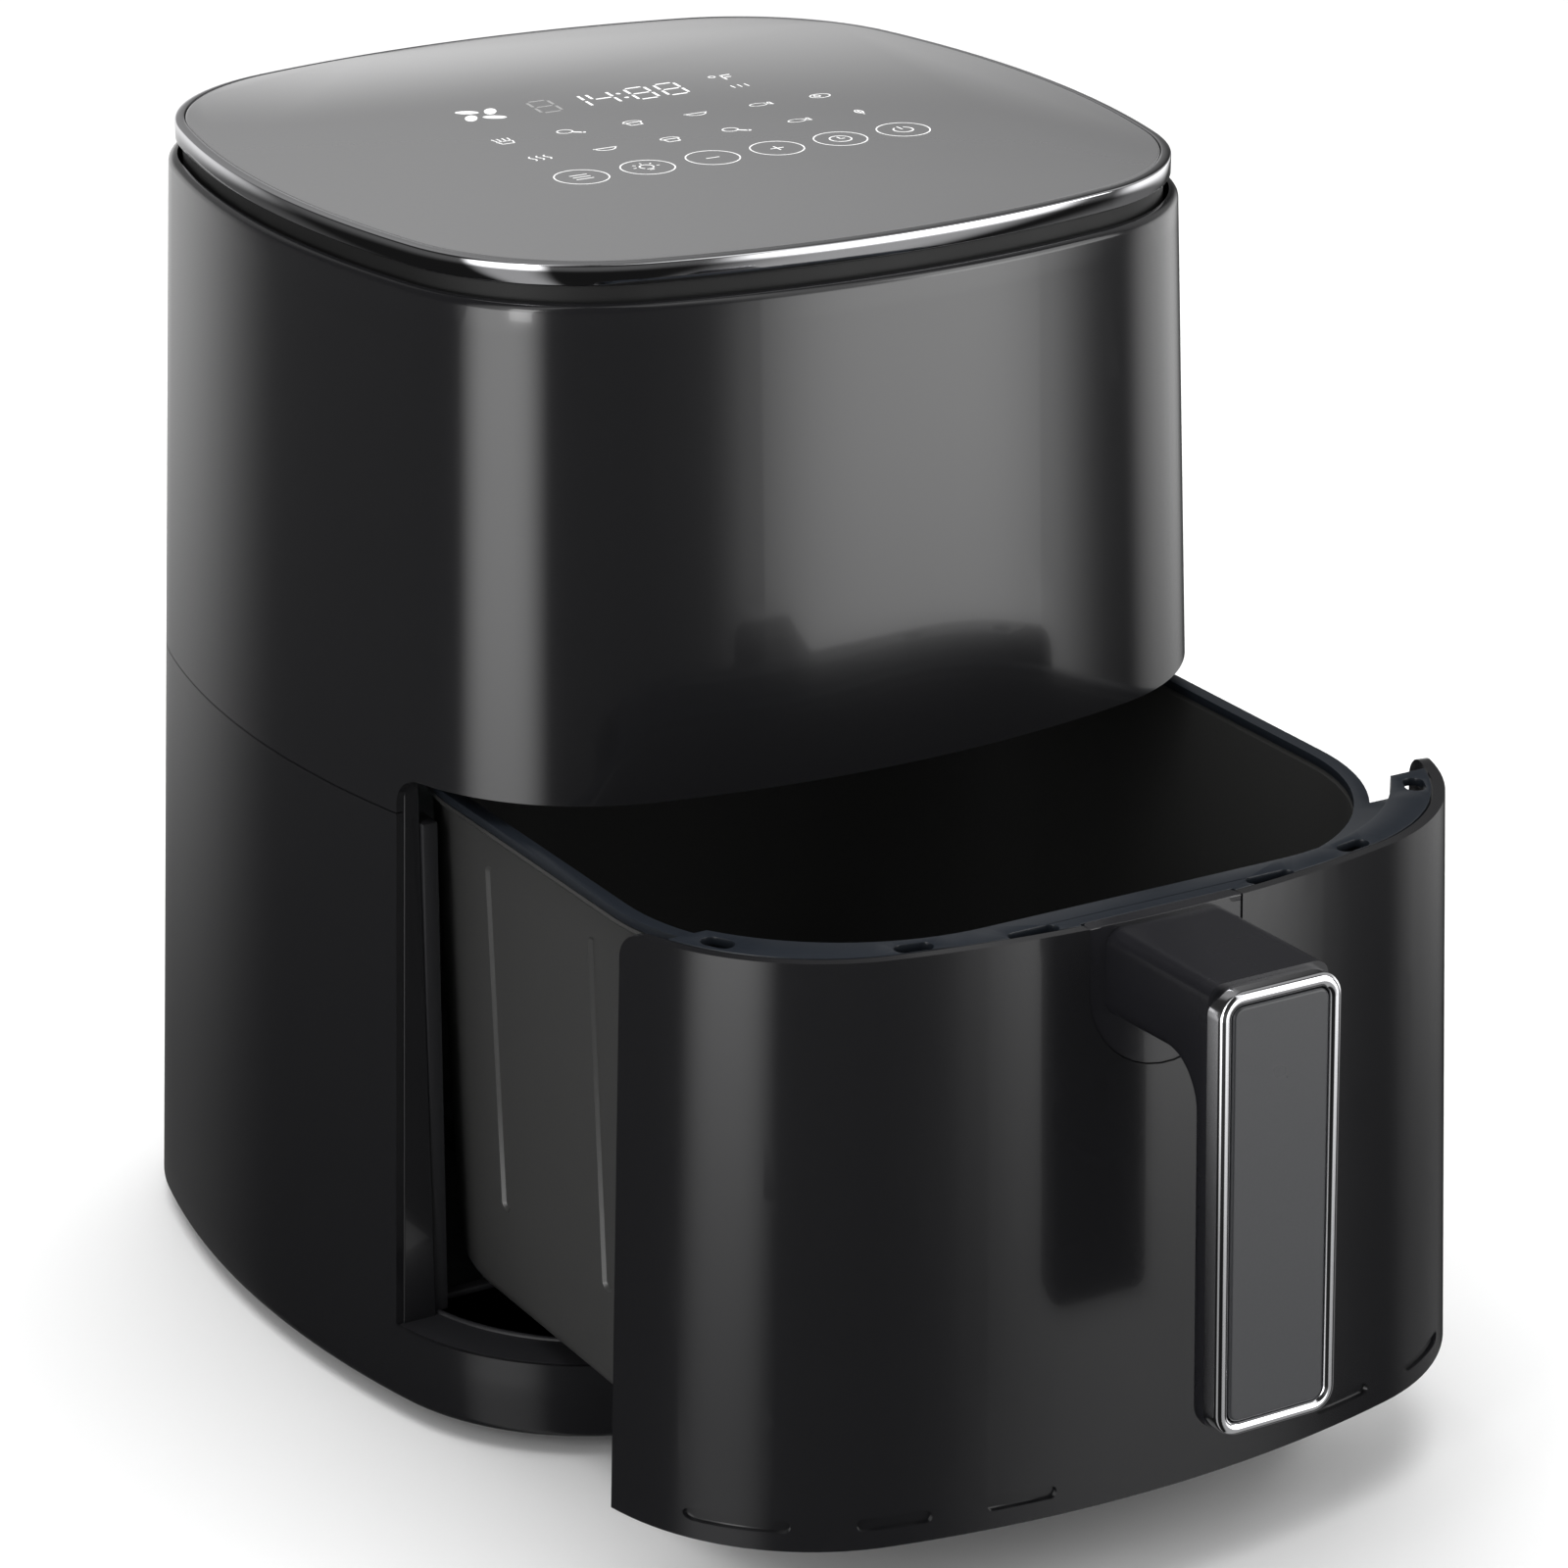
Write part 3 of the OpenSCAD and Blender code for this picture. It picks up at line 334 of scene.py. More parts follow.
# %% Dress the carried-over pieces
SLOTS = {row["node"]: row["material_slot"] for row in frame["record"]["subparts"]}
FINE_EDGE = {"drawer_ring": 0.35, "handle_pad": 0.3, "bottom_plate": 0.5, "chamber_posts": 0.6,
             "cord_inlet": 0.5, "drawer_inner_panel": 0.4, "feet": 0.8, "motor_core": 0.3}


def dress(node, obj):
    """Material, smooth shading and broken edges for one engineering piece."""
    obj.data.materials.clear()
    obj.data.materials.append(MATERIALS[SLOTS[node]])
    obj.data.shade_smooth()
    weld = obj.modifiers.new("weld", "WELD")
    weld.merge_threshold = SAME
    if node in FINE_EDGE:
        bevel = obj.modifiers.new("edge", "BEVEL")
        bevel.width = FINE_EDGE[node] * MM
        bevel.segments = 2
        bevel.limit_method = "ANGLE"
        bevel.angle_limit = EDGE_ANGLE
    split = obj.modifiers.new("split", "EDGE_SPLIT")
    split.split_angle = SPLIT_ANGLE


for node, obj in frame["nodes"].items():
    dress(node, obj)
print("dressed:", len(frame["nodes"]))


# %% Finishing a new piece
def new_piece(name, bm, body, slot, replaces=(), wall=0.0, edge=0.0, sharp=38):
    """Turns a bmesh into a named piece that rides on a body and wears a slot's finish."""
    mesh = bpy.data.meshes.new(name)
    bm.to_mesh(mesh)
    bm.free()
    mesh.shade_smooth()
    mesh.set_sharp_from_angle(angle=math.radians(sharp))
    obj = bpy.data.objects.new(name, mesh)
    bpy.context.scene.collection.objects.link(obj)
    mesh.materials.append(MATERIALS[slot])
    if wall:
        thick = obj.modifiers.new("wall", "SOLIDIFY")
        thick.thickness = wall
        thick.offset = -1
    if edge:
        bevel = obj.modifiers.new("edge", "BEVEL")
        bevel.width = edge
        bevel.segments = 3
        bevel.limit_method = "ANGLE"
        bevel.angle_limit = EDGE_ANGLE
        bevel.harden_normals = True
    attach(obj, body)
    if replaces:
        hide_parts(*replaces)
    print(f"{name}: {len(mesh.polygons)} faces")
    return obj


# %% [markdown]
# ## The upper housing
# A gloss moulding that tapers towards the top and rolls over into the groove below the bright
# band. Its skin is a stack of outlines joined into a wall. The drawer's opening is then cut
# away with planes, and a modifier gives the skin its thickness.

# %% Upper housing
HOUSING_WALL = 2.6 * MM
HOUSING_EDGE = 0.45 * MM
SHOULDER = 2.2 * MM
OPENING_ROUND = 8 * MM


def body_skin(levels, shift=0.0):
    """A wall through (inset, height) levels, as a bmesh."""
    bm = bmesh.new()
    loft(bm, [body_ring(bm, wall_at(z) - inset, z, shift) for inset, z in levels])
    return bm


levels = [(0.0, SEAM), (0.0, OPENING_TOP + 4 * MM), (0.0, NECK - 40 * MM), (0.0, NECK - 8 * MM)]
levels += [(across, NECK - SHOULDER + up) for across, up in quarter_round(SHOULDER)]
upper = body_skin(levels)
bmesh.ops.delete(upper, geom=region(upper, front_planes(0.0, OPENING_ROUND)), context="FACES")
vent_low, vent_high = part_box("rear_vent")
frame_gap = 0.15 * MM
vent_planes = [
    (Vector((vent_low.x - frame_gap, 0, 0)), -X),
    (Vector((vent_high.x + frame_gap, 0, 0)), X),
    (Vector((0, 0, vent_low.z - frame_gap)), -Z),
    (Vector((0, 0, vent_high.z + frame_gap)), Z),
    (Vector((0, HALF / 2, 0)), -Y),
]
bmesh.ops.delete(upper, geom=region(upper, vent_planes), context="FACES")
new_piece("upper_shell", upper, "housing", "gloss_black", ["upper_housing"],
          wall=HOUSING_WALL, edge=HOUSING_EDGE)

# %% [markdown]
# ## The lower housing
# The same outline carries on down to the table and turns under with a small radius. Inside the
# opening it has a flat sill with a low bead, and a jamb on each side that closes the wall
# towards the drawer.

# %% Lower housing skin
SEAM_LINE = 0.3 * MM
UNDER_ROUND = 2.5 * MM
levels = [(across, FOOT + UNDER_ROUND - up)
          for across, up in reversed(quarter_round(UNDER_ROUND))]
levels += [(0.0, SILL - 6 * MM), (0.0, SILL + 6 * MM), (0.0, SEAM - SEAM_LINE - 20 * MM)]
levels += [(0.0, SEAM - SEAM_LINE)]
lower = body_skin(levels)
opening = front_planes(0.0, OPENING_ROUND, low=SILL)
bmesh.ops.delete(lower, geom=region(lower, opening), context="FACES")
inlet_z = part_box("cord_inlet")[0].z / 2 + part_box("cord_inlet")[1].z / 2
inlet_r = 7.3 * MM
inlet = arc_planes(Vector((0, 0, inlet_z)), inlet_r, 0, 2 * math.pi, (X, Z), 24)
inlet.append((Vector((0, HALF / 2, 0)), -Y))
bmesh.ops.delete(lower, geom=region(lower, inlet), context="FACES")
new_piece("lower_shell", lower, "housing", "gloss_black", ["lower_housing"],
          wall=HOUSING_WALL, edge=HOUSING_EDGE)

# %% Sill and its bead
SILL_T = 2.5 * MM
BEAD_IN = 12 * MM
BEAD_R = 0.8 * MM
sill = bmesh.new()
inner = wall_at(SILL) - 1.2 * MM
rings = [body_ring(sill, inner, SILL - SILL_T), body_ring(sill, inner, SILL)]
for i in range(7):
    angle = math.pi * i / 6
    half = inner - BEAD_IN + BEAD_R * math.cos(angle)
    rings.append(body_ring(sill, half, SILL + BEAD_R * math.sin(angle)))
bottom_ring = rings[0]
loft(sill, rings)
bmesh.ops.edgeloop_fill(sill, edges=rings[-1])
bmesh.ops.edgeloop_fill(sill, edges=bottom_ring)
bmesh.ops.recalc_face_normals(sill, faces=sill.faces)
new_piece("sill_deck", sill, "housing", "base_plastic")

# %% Jambs at both sides of the opening
JAMB_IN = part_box("chamber_posts")[1].x + 0.2 * MM
JAMB_DEEP = 5 * MM


def bow_x(half, y):
    """Distance of the bowed side from the middle plane, at a place along it."""
    grow = half / HALF
    return (math.sqrt(SIDE_R**2 - (y / grow) ** 2) - BOW) * grow


def jamb(side):
    """A tapered wall from the skin to the post, with its face along the opening's edge."""
    bm = bmesh.new()
    bmesh.ops.create_cube(bm, size=1)
    low, high = SILL - 1 * MM, OPENING_TOP + 2 * MM
    for v in bm.verts:
        z = high if v.co.z > 0 else low
        edge = -REACH + math.tan(EDGE_LEAN) * (z - FOOT)
        y = edge + (JAMB_DEEP if v.co.y > 0 else 0.2 * MM)
        x = bow_x(wall_at(z), y) - HOUSING_WALL if v.co.x > 0 else JAMB_IN
        v.co = Vector((side * x, y, z))
    bm.normal_update()
    bmesh.ops.recalc_face_normals(bm, faces=bm.faces)
    return bm


for side, name in ((-1, "left_jamb"), (1, "right_jamb")):
    new_piece(name, jamb(side), "housing", "gloss_black", edge=0.3 * MM)

# %% [markdown]
# ## The bright band and the glass
# The band is a closed ring of metal: an upright outer face, a rolled edge and a slope in to
# the glass. The glass lies just below the band's inner lip and carries the printed fields.

# %% Bright band
BAND_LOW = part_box("chrome_band")[0].z
BAND_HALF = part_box("chrome_band")[1].x
GLASS_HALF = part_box("top_glass")[1].x
ROLL = 0.6 * MM
band = bmesh.new()
profile = [(BAND_HALF - 0.5 * MM, BAND_LOW), (BAND_HALF, BAND_LOW + 0.5 * MM)]
profile += [(BAND_HALF - across, TOP - 0.5 * MM - ROLL + up) for across, up in quarter_round(ROLL)]
profile += [(GLASS_HALF + 0.5 * MM, TOP - 0.12 * MM), (GLASS_HALF + 0.2 * MM, TOP - 0.3 * MM)]
profile += [(GLASS_HALF + 0.2 * MM, BAND_LOW)]
loft(band, [body_ring(band, half, z) for half, z in profile], closed=True)
new_piece("bright_band", band, "housing", "bright_band", ["chrome_band"], sharp=50)

# %% Glass
PRINT_T = 0.04 * MM
GLASS_TOP = TOP - 0.1 * MM - PRINT_T
glass = bmesh.new()
GLASS_ROUND = 0.6 * MM
profile = [(GLASS_HALF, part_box("top_glass")[0].z)]
profile += [(GLASS_HALF - across, GLASS_TOP - GLASS_ROUND + up)
            for across, up in quarter_round(GLASS_ROUND, 3)]
rings = [body_ring(glass, half, z) for half, z in profile]
loft(glass, rings)
bmesh.ops.edgeloop_fill(glass, edges=rings[0])
bmesh.ops.edgeloop_fill(glass, edges=rings[-1])
bmesh.ops.recalc_face_normals(glass, faces=glass.faces)
new_piece("glass_top", glass, "housing", "smoked_glass", ["top_glass"])

# %% [markdown]
# ## The printed fields
# Every mark is a flat film made of bars and hoops, laid on the glass. Words on the real top are
# replaced here by plain pictograms; only digits, signs and a degree mark are drawn. The marks
# stand on a grid of six columns, so each one is placed by its column and row.

# %% Print helpers
COLUMN = 19.8 * MM
FIRST_COLUMN = -44.5 * MM
ROWS = {"upper": 10.2 * MM, "middle": -10.4 * MM, "touch": -33.2 * MM}
LINE = 0.42 * MM


def bar(bm, x0, y0, x1, y1, width=LINE):
    """A straight stroke between two points."""
    start, end = Vector((x0, y0, 0)), Vector((x1, y1, 0))
    run = end - start
    turn = Matrix.Rotation(math.atan2(run.y, run.x), 4, "Z")
    scale = Matrix.Diagonal((run.length, width, 1, 1))
    place = Matrix.Translation((start + end) / 2)
    bmesh.ops.create_grid(bm, x_segments=1, y_segments=1, size=0.5, matrix=place @ turn @ scale)


def hoop(bm, x, y, radius, start=0.0, sweep=360.0, width=LINE, squash=1.0):
    """An arc or a full ring of even width, swung from one short edge and then put in place."""
    part = bmesh.new()
    out = Vector((math.cos(math.radians(start)), math.sin(math.radians(start)), 0))
    ends = [part.verts.new(out * (radius + s * width / 2)) for s in (-1, 1)]
    edge = part.edges.new(ends)
    bmesh.ops.spin(part, geom=ends + [edge], cent=(0, 0, 0), axis=(0, 0, 1), use_merge=sweep >= 360,
                   angle=math.radians(sweep), steps=max(int(sweep / 12), 4))
    place = Matrix.Translation((x, y, 0)) @ Matrix.Diagonal((1, squash, 1, 1))
    bmesh.ops.transform(part, matrix=place, verts=part.verts)
    mesh = bpy.data.meshes.new("stroke")
    part.to_mesh(mesh)
    part.free()
    bm.from_mesh(mesh)
    bpy.data.meshes.remove(mesh)


def disc(bm, x, y, radius, squash=1.0, turn=0.0):
    """A filled round or oval dot."""
    matrix = Matrix.Translation((x, y, 0)) @ Matrix.Rotation(math.radians(turn), 4, "Z")
    matrix = matrix @ Matrix.Diagonal((1, squash, 1, 1))
    bmesh.ops.create_circle(bm, cap_ends=True, segments=20, radius=radius, matrix=matrix)


def printed(name, bm, slot_look):
    """Lifts flat marks onto the glass, gives them their film thickness and their ink."""
    bmesh.ops.translate(bm, vec=(0, 0, GLASS_TOP), verts=bm.verts)
    for face in bm.faces:
        if face.normal.z < 0:
            face.normal_flip()
    bm.normal_update()
    thicken(bm, bm.faces, (0, 0, PRINT_T))
    piece = new_piece(name, bm, "housing", "display_white")
    piece.data.materials[0] = MATERIALS[slot_look]


# %% Digits, colon, degree mark and fan
DIGIT_W, DIGIT_H, SLANT = 6.4 * MM, 12.5 * MM, 0.12
SEGMENTS = {"a": (0, 2, 1, 2), "b": (1, 1, 1, 2), "c": (1, 0, 1, 1), "d": (0, 0, 1, 0),
            "e": (0, 0, 0, 1), "f": (0, 1, 0, 2), "g": (0, 1, 1, 1)}
SHAPES = {"1": "bc", "4": "bcfg", "8": "abcdefg"}


def digit(bm, sign, x, y, width=0.85 * MM):
    """One figure of seven slanted strokes, with small gaps where they meet."""
    for key in SHAPES[sign]:
        c0, r0, c1, r1 = SEGMENTS[key]
        points = []
        for c, r, other_c, other_r in ((c0, r0, c1, r1), (c1, r1, c0, r0)):
            along_x = 0.13 * (other_c - c)
            along_y = 0.13 * (other_r - r)
            up = (r + along_y - 1) * DIGIT_H / 2
            points.append((x + (c + along_x - 0.5) * DIGIT_W + up * SLANT, y + up))
        bar(bm, *points[0], *points[1], width)


DISPLAY_Y = 38 * MM
DIGIT_X = [-17 * MM, -7.5 * MM, 1.5 * MM, 13.5 * MM, 23 * MM]
marks = bmesh.new()
for sign, x in zip("1488", DIGIT_X[1:]):
    digit(marks, sign, x, DISPLAY_Y)
for y in (-2.4 * MM, 2.4 * MM):
    disc(marks, (DIGIT_X[2] + DIGIT_X[3]) / 2, DISPLAY_Y + y, 0.7 * MM)
hoop(marks, 39.5 * MM, DISPLAY_Y + 6 * MM, 0.9 * MM)
bar(marks, 41.8 * MM, DISPLAY_Y + 1.5 * MM, 42.4 * MM, DISPLAY_Y + 6.5 * MM, 0.6 * MM)
bar(marks, 42.4 * MM, DISPLAY_Y + 6.3 * MM, 45.4 * MM, DISPLAY_Y + 6.3 * MM, 0.6 * MM)
bar(marks, 42.1 * MM, DISPLAY_Y + 4 * MM, 44.6 * MM, DISPLAY_Y + 4 * MM, 0.6 * MM)
for i in range(3):
    bar(marks, (39 + 2.2 * i) * MM, DISPLAY_Y - 8 * MM, (39 + 2.2 * i) * MM, DISPLAY_Y - 5.2 * MM)
FAN_AT = (-36.5 * MM, 38.5 * MM)
for i in range(4):
    angle = math.radians(90 * i + 28)
    disc(marks, FAN_AT[0] + 4.6 * MM * math.cos(angle), FAN_AT[1] + 4.6 * MM * math.sin(angle),
         3.3 * MM, squash=0.52, turn=90 * i + 60)
printed("display_print", marks, "print_white")
ghost = bmesh.new()
digit(ghost, "8", DIGIT_X[0], DISPLAY_Y)
printed("ghost_digit", ghost, "ghost_grey")


# %% Food pictograms, drawn from bars and hoops
def icon_fries(bm, x, y):
    for i in range(4):
        bar(bm, x + (i - 1.5) * 1.3 * MM, y - 0.5 * MM, x + (i - 1.5) * 1.6 * MM, y + 2.6 * MM)
    bar(bm, x - 2.4 * MM, y - 0.4 * MM, x + 2.4 * MM, y - 0.4 * MM)
    bar(bm, x - 2.4 * MM, y - 0.4 * MM, x - 1.7 * MM, y - 3 * MM)
    bar(bm, x + 2.4 * MM, y - 0.4 * MM, x + 1.7 * MM, y - 3 * MM)
    bar(bm, x - 1.8 * MM, y - 3 * MM, x + 1.8 * MM, y - 3 * MM)


def icon_drumstick(bm, x, y):
    hoop(bm, x - 0.8 * MM, y + 0.6 * MM, 2.2 * MM, squash=0.85)
    bar(bm, x + 1.0 * MM, y - 0.8 * MM, x + 3.2 * MM, y - 2.5 * MM, 0.9 * MM)
    disc(bm, x + 3.4 * MM, y - 2.4 * MM, 0.6 * MM)


def icon_fish(bm, x, y):
    hoop(bm, x, y, 2.6 * MM, squash=0.55)
    bar(bm, x + 2.5 * MM, y, x + 4 * MM, y + 1.4 * MM)
    bar(bm, x + 2.5 * MM, y, x + 4 * MM, y - 1.4 * MM)
    bar(bm, x + 4 * MM, y - 1.4 * MM, x + 4 * MM, y + 1.4 * MM)


def icon_cake(bm, x, y):
    hoop(bm, x, y, 2.8 * MM, 0, 180, squash=0.7)
    bar(bm, x - 2.8 * MM, y, x + 2.8 * MM, y)
    bar(bm, x - 2.2 * MM, y, x - 1.7 * MM, y - 2.6 * MM)
    bar(bm, x + 2.2 * MM, y, x + 1.7 * MM, y - 2.6 * MM)
    bar(bm, x - 1.8 * MM, y - 2.6 * MM, x + 1.8 * MM, y - 2.6 * MM)


def icon_steak(bm, x, y):
    hoop(bm, x, y, 3.0 * MM, squash=0.7)
    hoop(bm, x - 0.8 * MM, y + 0.3 * MM, 0.9 * MM)


def icon_leaf(bm, x, y):
    hoop(bm, x - 1.4 * MM, y, 2.4 * MM, -60, 120)
    hoop(bm, x + 1.4 * MM, y, 2.4 * MM, 120, 120)
    bar(bm, x, y - 3 * MM, x, y + 1 * MM)


def icon_steam(bm, x, y):
    for i in range(3):
        left = x + (i - 1) * 2.2 * MM
        hoop(bm, left + 0.6 * MM, y + 1.1 * MM, 1.1 * MM, 110, 140)
        hoop(bm, left - 0.6 * MM, y - 1.1 * MM, 1.1 * MM, -70, 140)


def icon_bowl(bm, x, y):
    hoop(bm, x, y + 0.4 * MM, 3.0 * MM, 180, 180, squash=0.8)
    bar(bm, x - 3.6 * MM, y + 0.4 * MM, x + 3.6 * MM, y + 0.4 * MM)


MENU = {"upper": [icon_fries, icon_drumstick, icon_cake, icon_bowl, icon_fish, icon_steak],
        "middle": [icon_steam, icon_bowl, icon_cake, icon_drumstick, icon_fish, icon_leaf]}
marks = bmesh.new()
for row, icons in MENU.items():
    for column, icon in enumerate(icons):
        icon(marks, FIRST_COLUMN + COLUMN * column, ROWS[row])
printed("menu_print", marks, "print_white")


# %% Touch fields
TOUCH_R = 7.3 * MM


def sign_menu(bm, x, y):
    for i in range(3):
        bar(bm, x - 2.6 * MM, y + (i - 1) * 2 * MM, x + 2.6 * MM, y + (i - 1) * 2 * MM)


def sign_bulb(bm, x, y):
    hoop(bm, x, y + 0.6 * MM, 1.9 * MM, -50, 280)
    bar(bm, x - 1 * MM, y - 1.6 * MM, x + 1 * MM, y - 1.6 * MM)
    bar(bm, x - 0.7 * MM, y - 2.5 * MM, x + 0.7 * MM, y - 2.5 * MM)
    for i in range(5):
        a = math.radians(45 * i)
        bar(bm, x + 3 * MM * math.cos(a), y + 0.6 * MM + 3 * MM * math.sin(a),
            x + 3.9 * MM * math.cos(a), y + 0.6 * MM + 3.9 * MM * math.sin(a))


def sign_minus(bm, x, y):
    bar(bm, x - 2 * MM, y, x + 2 * MM, y)


def sign_plus(bm, x, y):
    sign_minus(bm, x, y)
    bar(bm, x, y - 2 * MM, x, y - LINE / 2)
    bar(bm, x, y + LINE / 2, x, y + 2 * MM)


def sign_clock(bm, x, y):
    hoop(bm, x, y, 3 * MM)
    bar(bm, x, y, x, y + 2 * MM)
    bar(bm, x, y, x + 1.4 * MM, y)


def sign_power(bm, x, y):
    hoop(bm, x, y, 2.7 * MM, 120, 300)
    bar(bm, x, y + 0.4 * MM, x, y + 3.4 * MM)


marks = bmesh.new()
signs = [sign_menu, sign_bulb, sign_minus, sign_plus, sign_clock, sign_power]
for column, sign in enumerate(signs):
    x = FIRST_COLUMN + COLUMN * column
    hoop(marks, x, ROWS["touch"], TOUCH_R, width=0.38 * MM)
    sign(marks, x, ROWS["touch"])
printed("touch_print", marks, "print_white")

# %% [markdown]
# ## The drawer front
# The front is the part of the body's own wall that the opening leaves out, less a gap, so it
# closes flush. The pad of the handle is let into it: both are cut from such a skin by the same
# planes, the front with a little more room, and the pad's skin lies slightly deeper.

# %% Drawer front
FRONT_WALL = 3 * MM
EDGE_GAP = 1 * MM
FRONT_ROUND = 7 * MM
PAD_HALF, PAD_GAP = 22.5 * MM, 0.15 * MM
PAD_FOOT = FRONT_Z[1] - 39 * MM + PAD_HALF
SHIFT = -OUT


def front_skin(inset=0.0):
    """The wall of the whole body at the drawer's height, moved out with the drawer."""
    levels = [(inset, FRONT_Z[0]), (inset, FRONT_Z[0] + 12 * MM), (inset, FRONT_Z[1] - 60 * MM),
              (inset, FRONT_Z[1])]
    return body_skin(levels, shift=SHIFT)


def pad_planes(grow):
    """The U of the pad: straight sides and a half-round foot."""
    foot = Vector((0, 0, PAD_FOOT))
    planes = arc_planes(foot, PAD_HALF + grow, -math.pi, 0, (X, Z), 18)
    planes.append((Vector((0, SHIFT - HALF / 2, 0)), Y))
    return planes


def keep(bm, faces):
    """Deletes every face that isn't in the list."""
    kept = set(faces)
    bmesh.ops.delete(bm, geom=[f for f in bm.faces if f not in kept], context="FACES")


front = front_skin()
keep(front, region(front, front_planes(EDGE_GAP, FRONT_ROUND, shift=SHIFT)))
bmesh.ops.delete(front, geom=region(front, pad_planes(PAD_GAP)), context="FACES")
SLOT_Z, SLOT_LONG, SLOT_WIDE, SLOT_DEEP = 34 * MM, 9.5 * MM, 1.75 * MM, 1.2 * MM
SLOT_X = (-108, -74.5, -41, 59.5, 93)
for x in SLOT_X:
    planes = capsule_planes(Vector((x * MM, 0, SLOT_Z)), SLOT_LONG, SLOT_WIDE, X, Z)
    slot_faces = region(front, planes)
    bmesh.ops.inset_region(front, faces=slot_faces, thickness=0.25 * MM, depth=-SLOT_DEEP,
                           use_even_offset=True)
new_piece("drawer_front_shell", front, "drawer", "gloss_black", ["drawer_front"],
          wall=FRONT_WALL, edge=0.7 * MM)

# %% Handle pad with its hook over the top edge
PAD_SUNK = 0.45 * MM
pad = front_skin(PAD_SUNK)
keep(pad, region(pad, pad_planes(0.0)))
new_piece("pad_shell", pad, "drawer", "pad_black", ["handle_pad"], wall=1.6 * MM - PAD_SUNK,
          edge=0.3 * MM)
HOOK_DEEP, HOOK_T, HOOK_ROUND = 5.2 * MM, 1.8 * MM, 2.4 * MM
hook = bmesh.new()
bmesh.ops.create_grid(hook, x_segments=1, y_segments=1, size=0.5)
front_y = SHIFT - wall_at(FRONT_Z[1])
for v in hook.verts:
    v.co = Vector((v.co.x * 2 * PAD_HALF, front_y + (HOOK_DEEP if v.co.y > 0 else 1.0 * MM),
                   FRONT_Z[1] - HOOK_T))
bmesh.ops.bevel(hook, geom=[v for v in hook.verts if v.co.y > front_y + 2 * MM], offset=HOOK_ROUND,
                segments=4, profile=0.5, affect="VERTICES", material=-1)
thicken(hook, hook.faces, (0, 0, HOOK_T))
bmesh.ops.recalc_face_normals(hook, faces=hook.faces)
new_piece("pad_hook", hook, "drawer", "pad_black", edge=0.4 * MM)

# %% [markdown]
# ## The tub
# A deep drawn steel tub with a non-stick coat. One closed chain of outlines runs up the
# outside, over the flange and down the inside, so its wall has a true thickness. The upright
# grooves on its sides are pressed into the wall after their round-ended shape is cut into it.

# %% Tub
tub_low, tub_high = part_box("drawer_tub")
TUB_Z0, TUB_Z1 = tub_low.z, tub_high.z
FLANGE_HALF = tub_high.x
TUB_T = 1.5 * MM
RIM_W = 4.6 * MM
TUB_HALF = FLANGE_HALF - RIM_W
TUB_R = 60 * MM
DRAFT = math.tan(math.radians(1.9))
FLANGE_T = 1.4 * MM
BASE_ROUND = 7 * MM
LIP = 0.6 * MM


def tub_ring(bm, z, inset=0.0):
    """Outline of the tub's outer wall at height z, set in by inset."""
    half = TUB_HALF + TUB_T - DRAFT * (TUB_Z1 - z) - inset
    return soft_ring(bm, half, TUB_R * half / TUB_HALF, z, SHIFT)


tub = bmesh.new()
outer = [tub_ring(tub, TUB_Z0, BASE_ROUND)]
outer += [tub_ring(tub, TUB_Z0 + BASE_ROUND - up, across)
          for across, up in reversed(quarter_round(BASE_ROUND)[:-1])]
outer += [tub_ring(tub, TUB_Z1 - FLANGE_T - 1 * MM), tub_ring(tub, TUB_Z1 - FLANGE_T, -LIP)]
flange = [soft_ring(tub, FLANGE_HALF - inset, TUB_R + RIM_W - inset, z, SHIFT)
          for inset, z in ((0.4 * MM, TUB_Z1 - FLANGE_T), (0.0, TUB_Z1 - FLANGE_T / 2),
                           (0.4 * MM, TUB_Z1))]
INNER_ROUND = BASE_ROUND - TUB_T
inner = [tub_ring(tub, TUB_Z1 - 0.2 * MM, TUB_T - LIP),
         tub_ring(tub, TUB_Z1 - 1.2 * MM, TUB_T)]
inner += [tub_ring(tub, TUB_Z0 + TUB_T + INNER_ROUND - up, TUB_T + across)
          for across, up in quarter_round(INNER_ROUND)]
loft(tub, outer + flange + inner)
bmesh.ops.edgeloop_fill(tub, edges=outer[0])
bmesh.ops.edgeloop_fill(tub, edges=inner[-1])
bmesh.ops.recalc_face_normals(tub, faces=tub.faces)
RIB_Y, RIB_WIDE, RIB_DEEP = 27.5 * MM, 2.5 * MM, 0.9 * MM
RIB_LOW, RIB_HIGH = TUB_Z0 + 31 * MM, TUB_Z1 - 12 * MM
for side in (-1, 1):
    for y in (-RIB_Y, RIB_Y):
        wall_faces = [f for f in tub.faces if side * f.normal.x > 0.9]
        middle = Vector((0, SHIFT + y, (RIB_LOW + RIB_HIGH) / 2))
        planes = capsule_planes(middle, (RIB_HIGH - RIB_LOW) / 2, RIB_WIDE, Z, Y)
        rib = [f for f in region(tub, planes, wall_faces) if side * f.calc_center_median().x > 0]
        bmesh.ops.inset_region(tub, faces=rib, thickness=0.8 * MM, depth=-RIB_DEEP,
                               use_even_offset=True)
new_piece("tub_shell", tub, "drawer", "coated_tub", ["drawer_tub"], sharp=30)

# %% [markdown]
# ## The handle
# Arm and grip are one moulding with soft edges. A bright frame with a rolled front edge sits
# on the grip's face and holds a satin insert. They all lean with the drawer front, so they are
# built upright and then turned together.

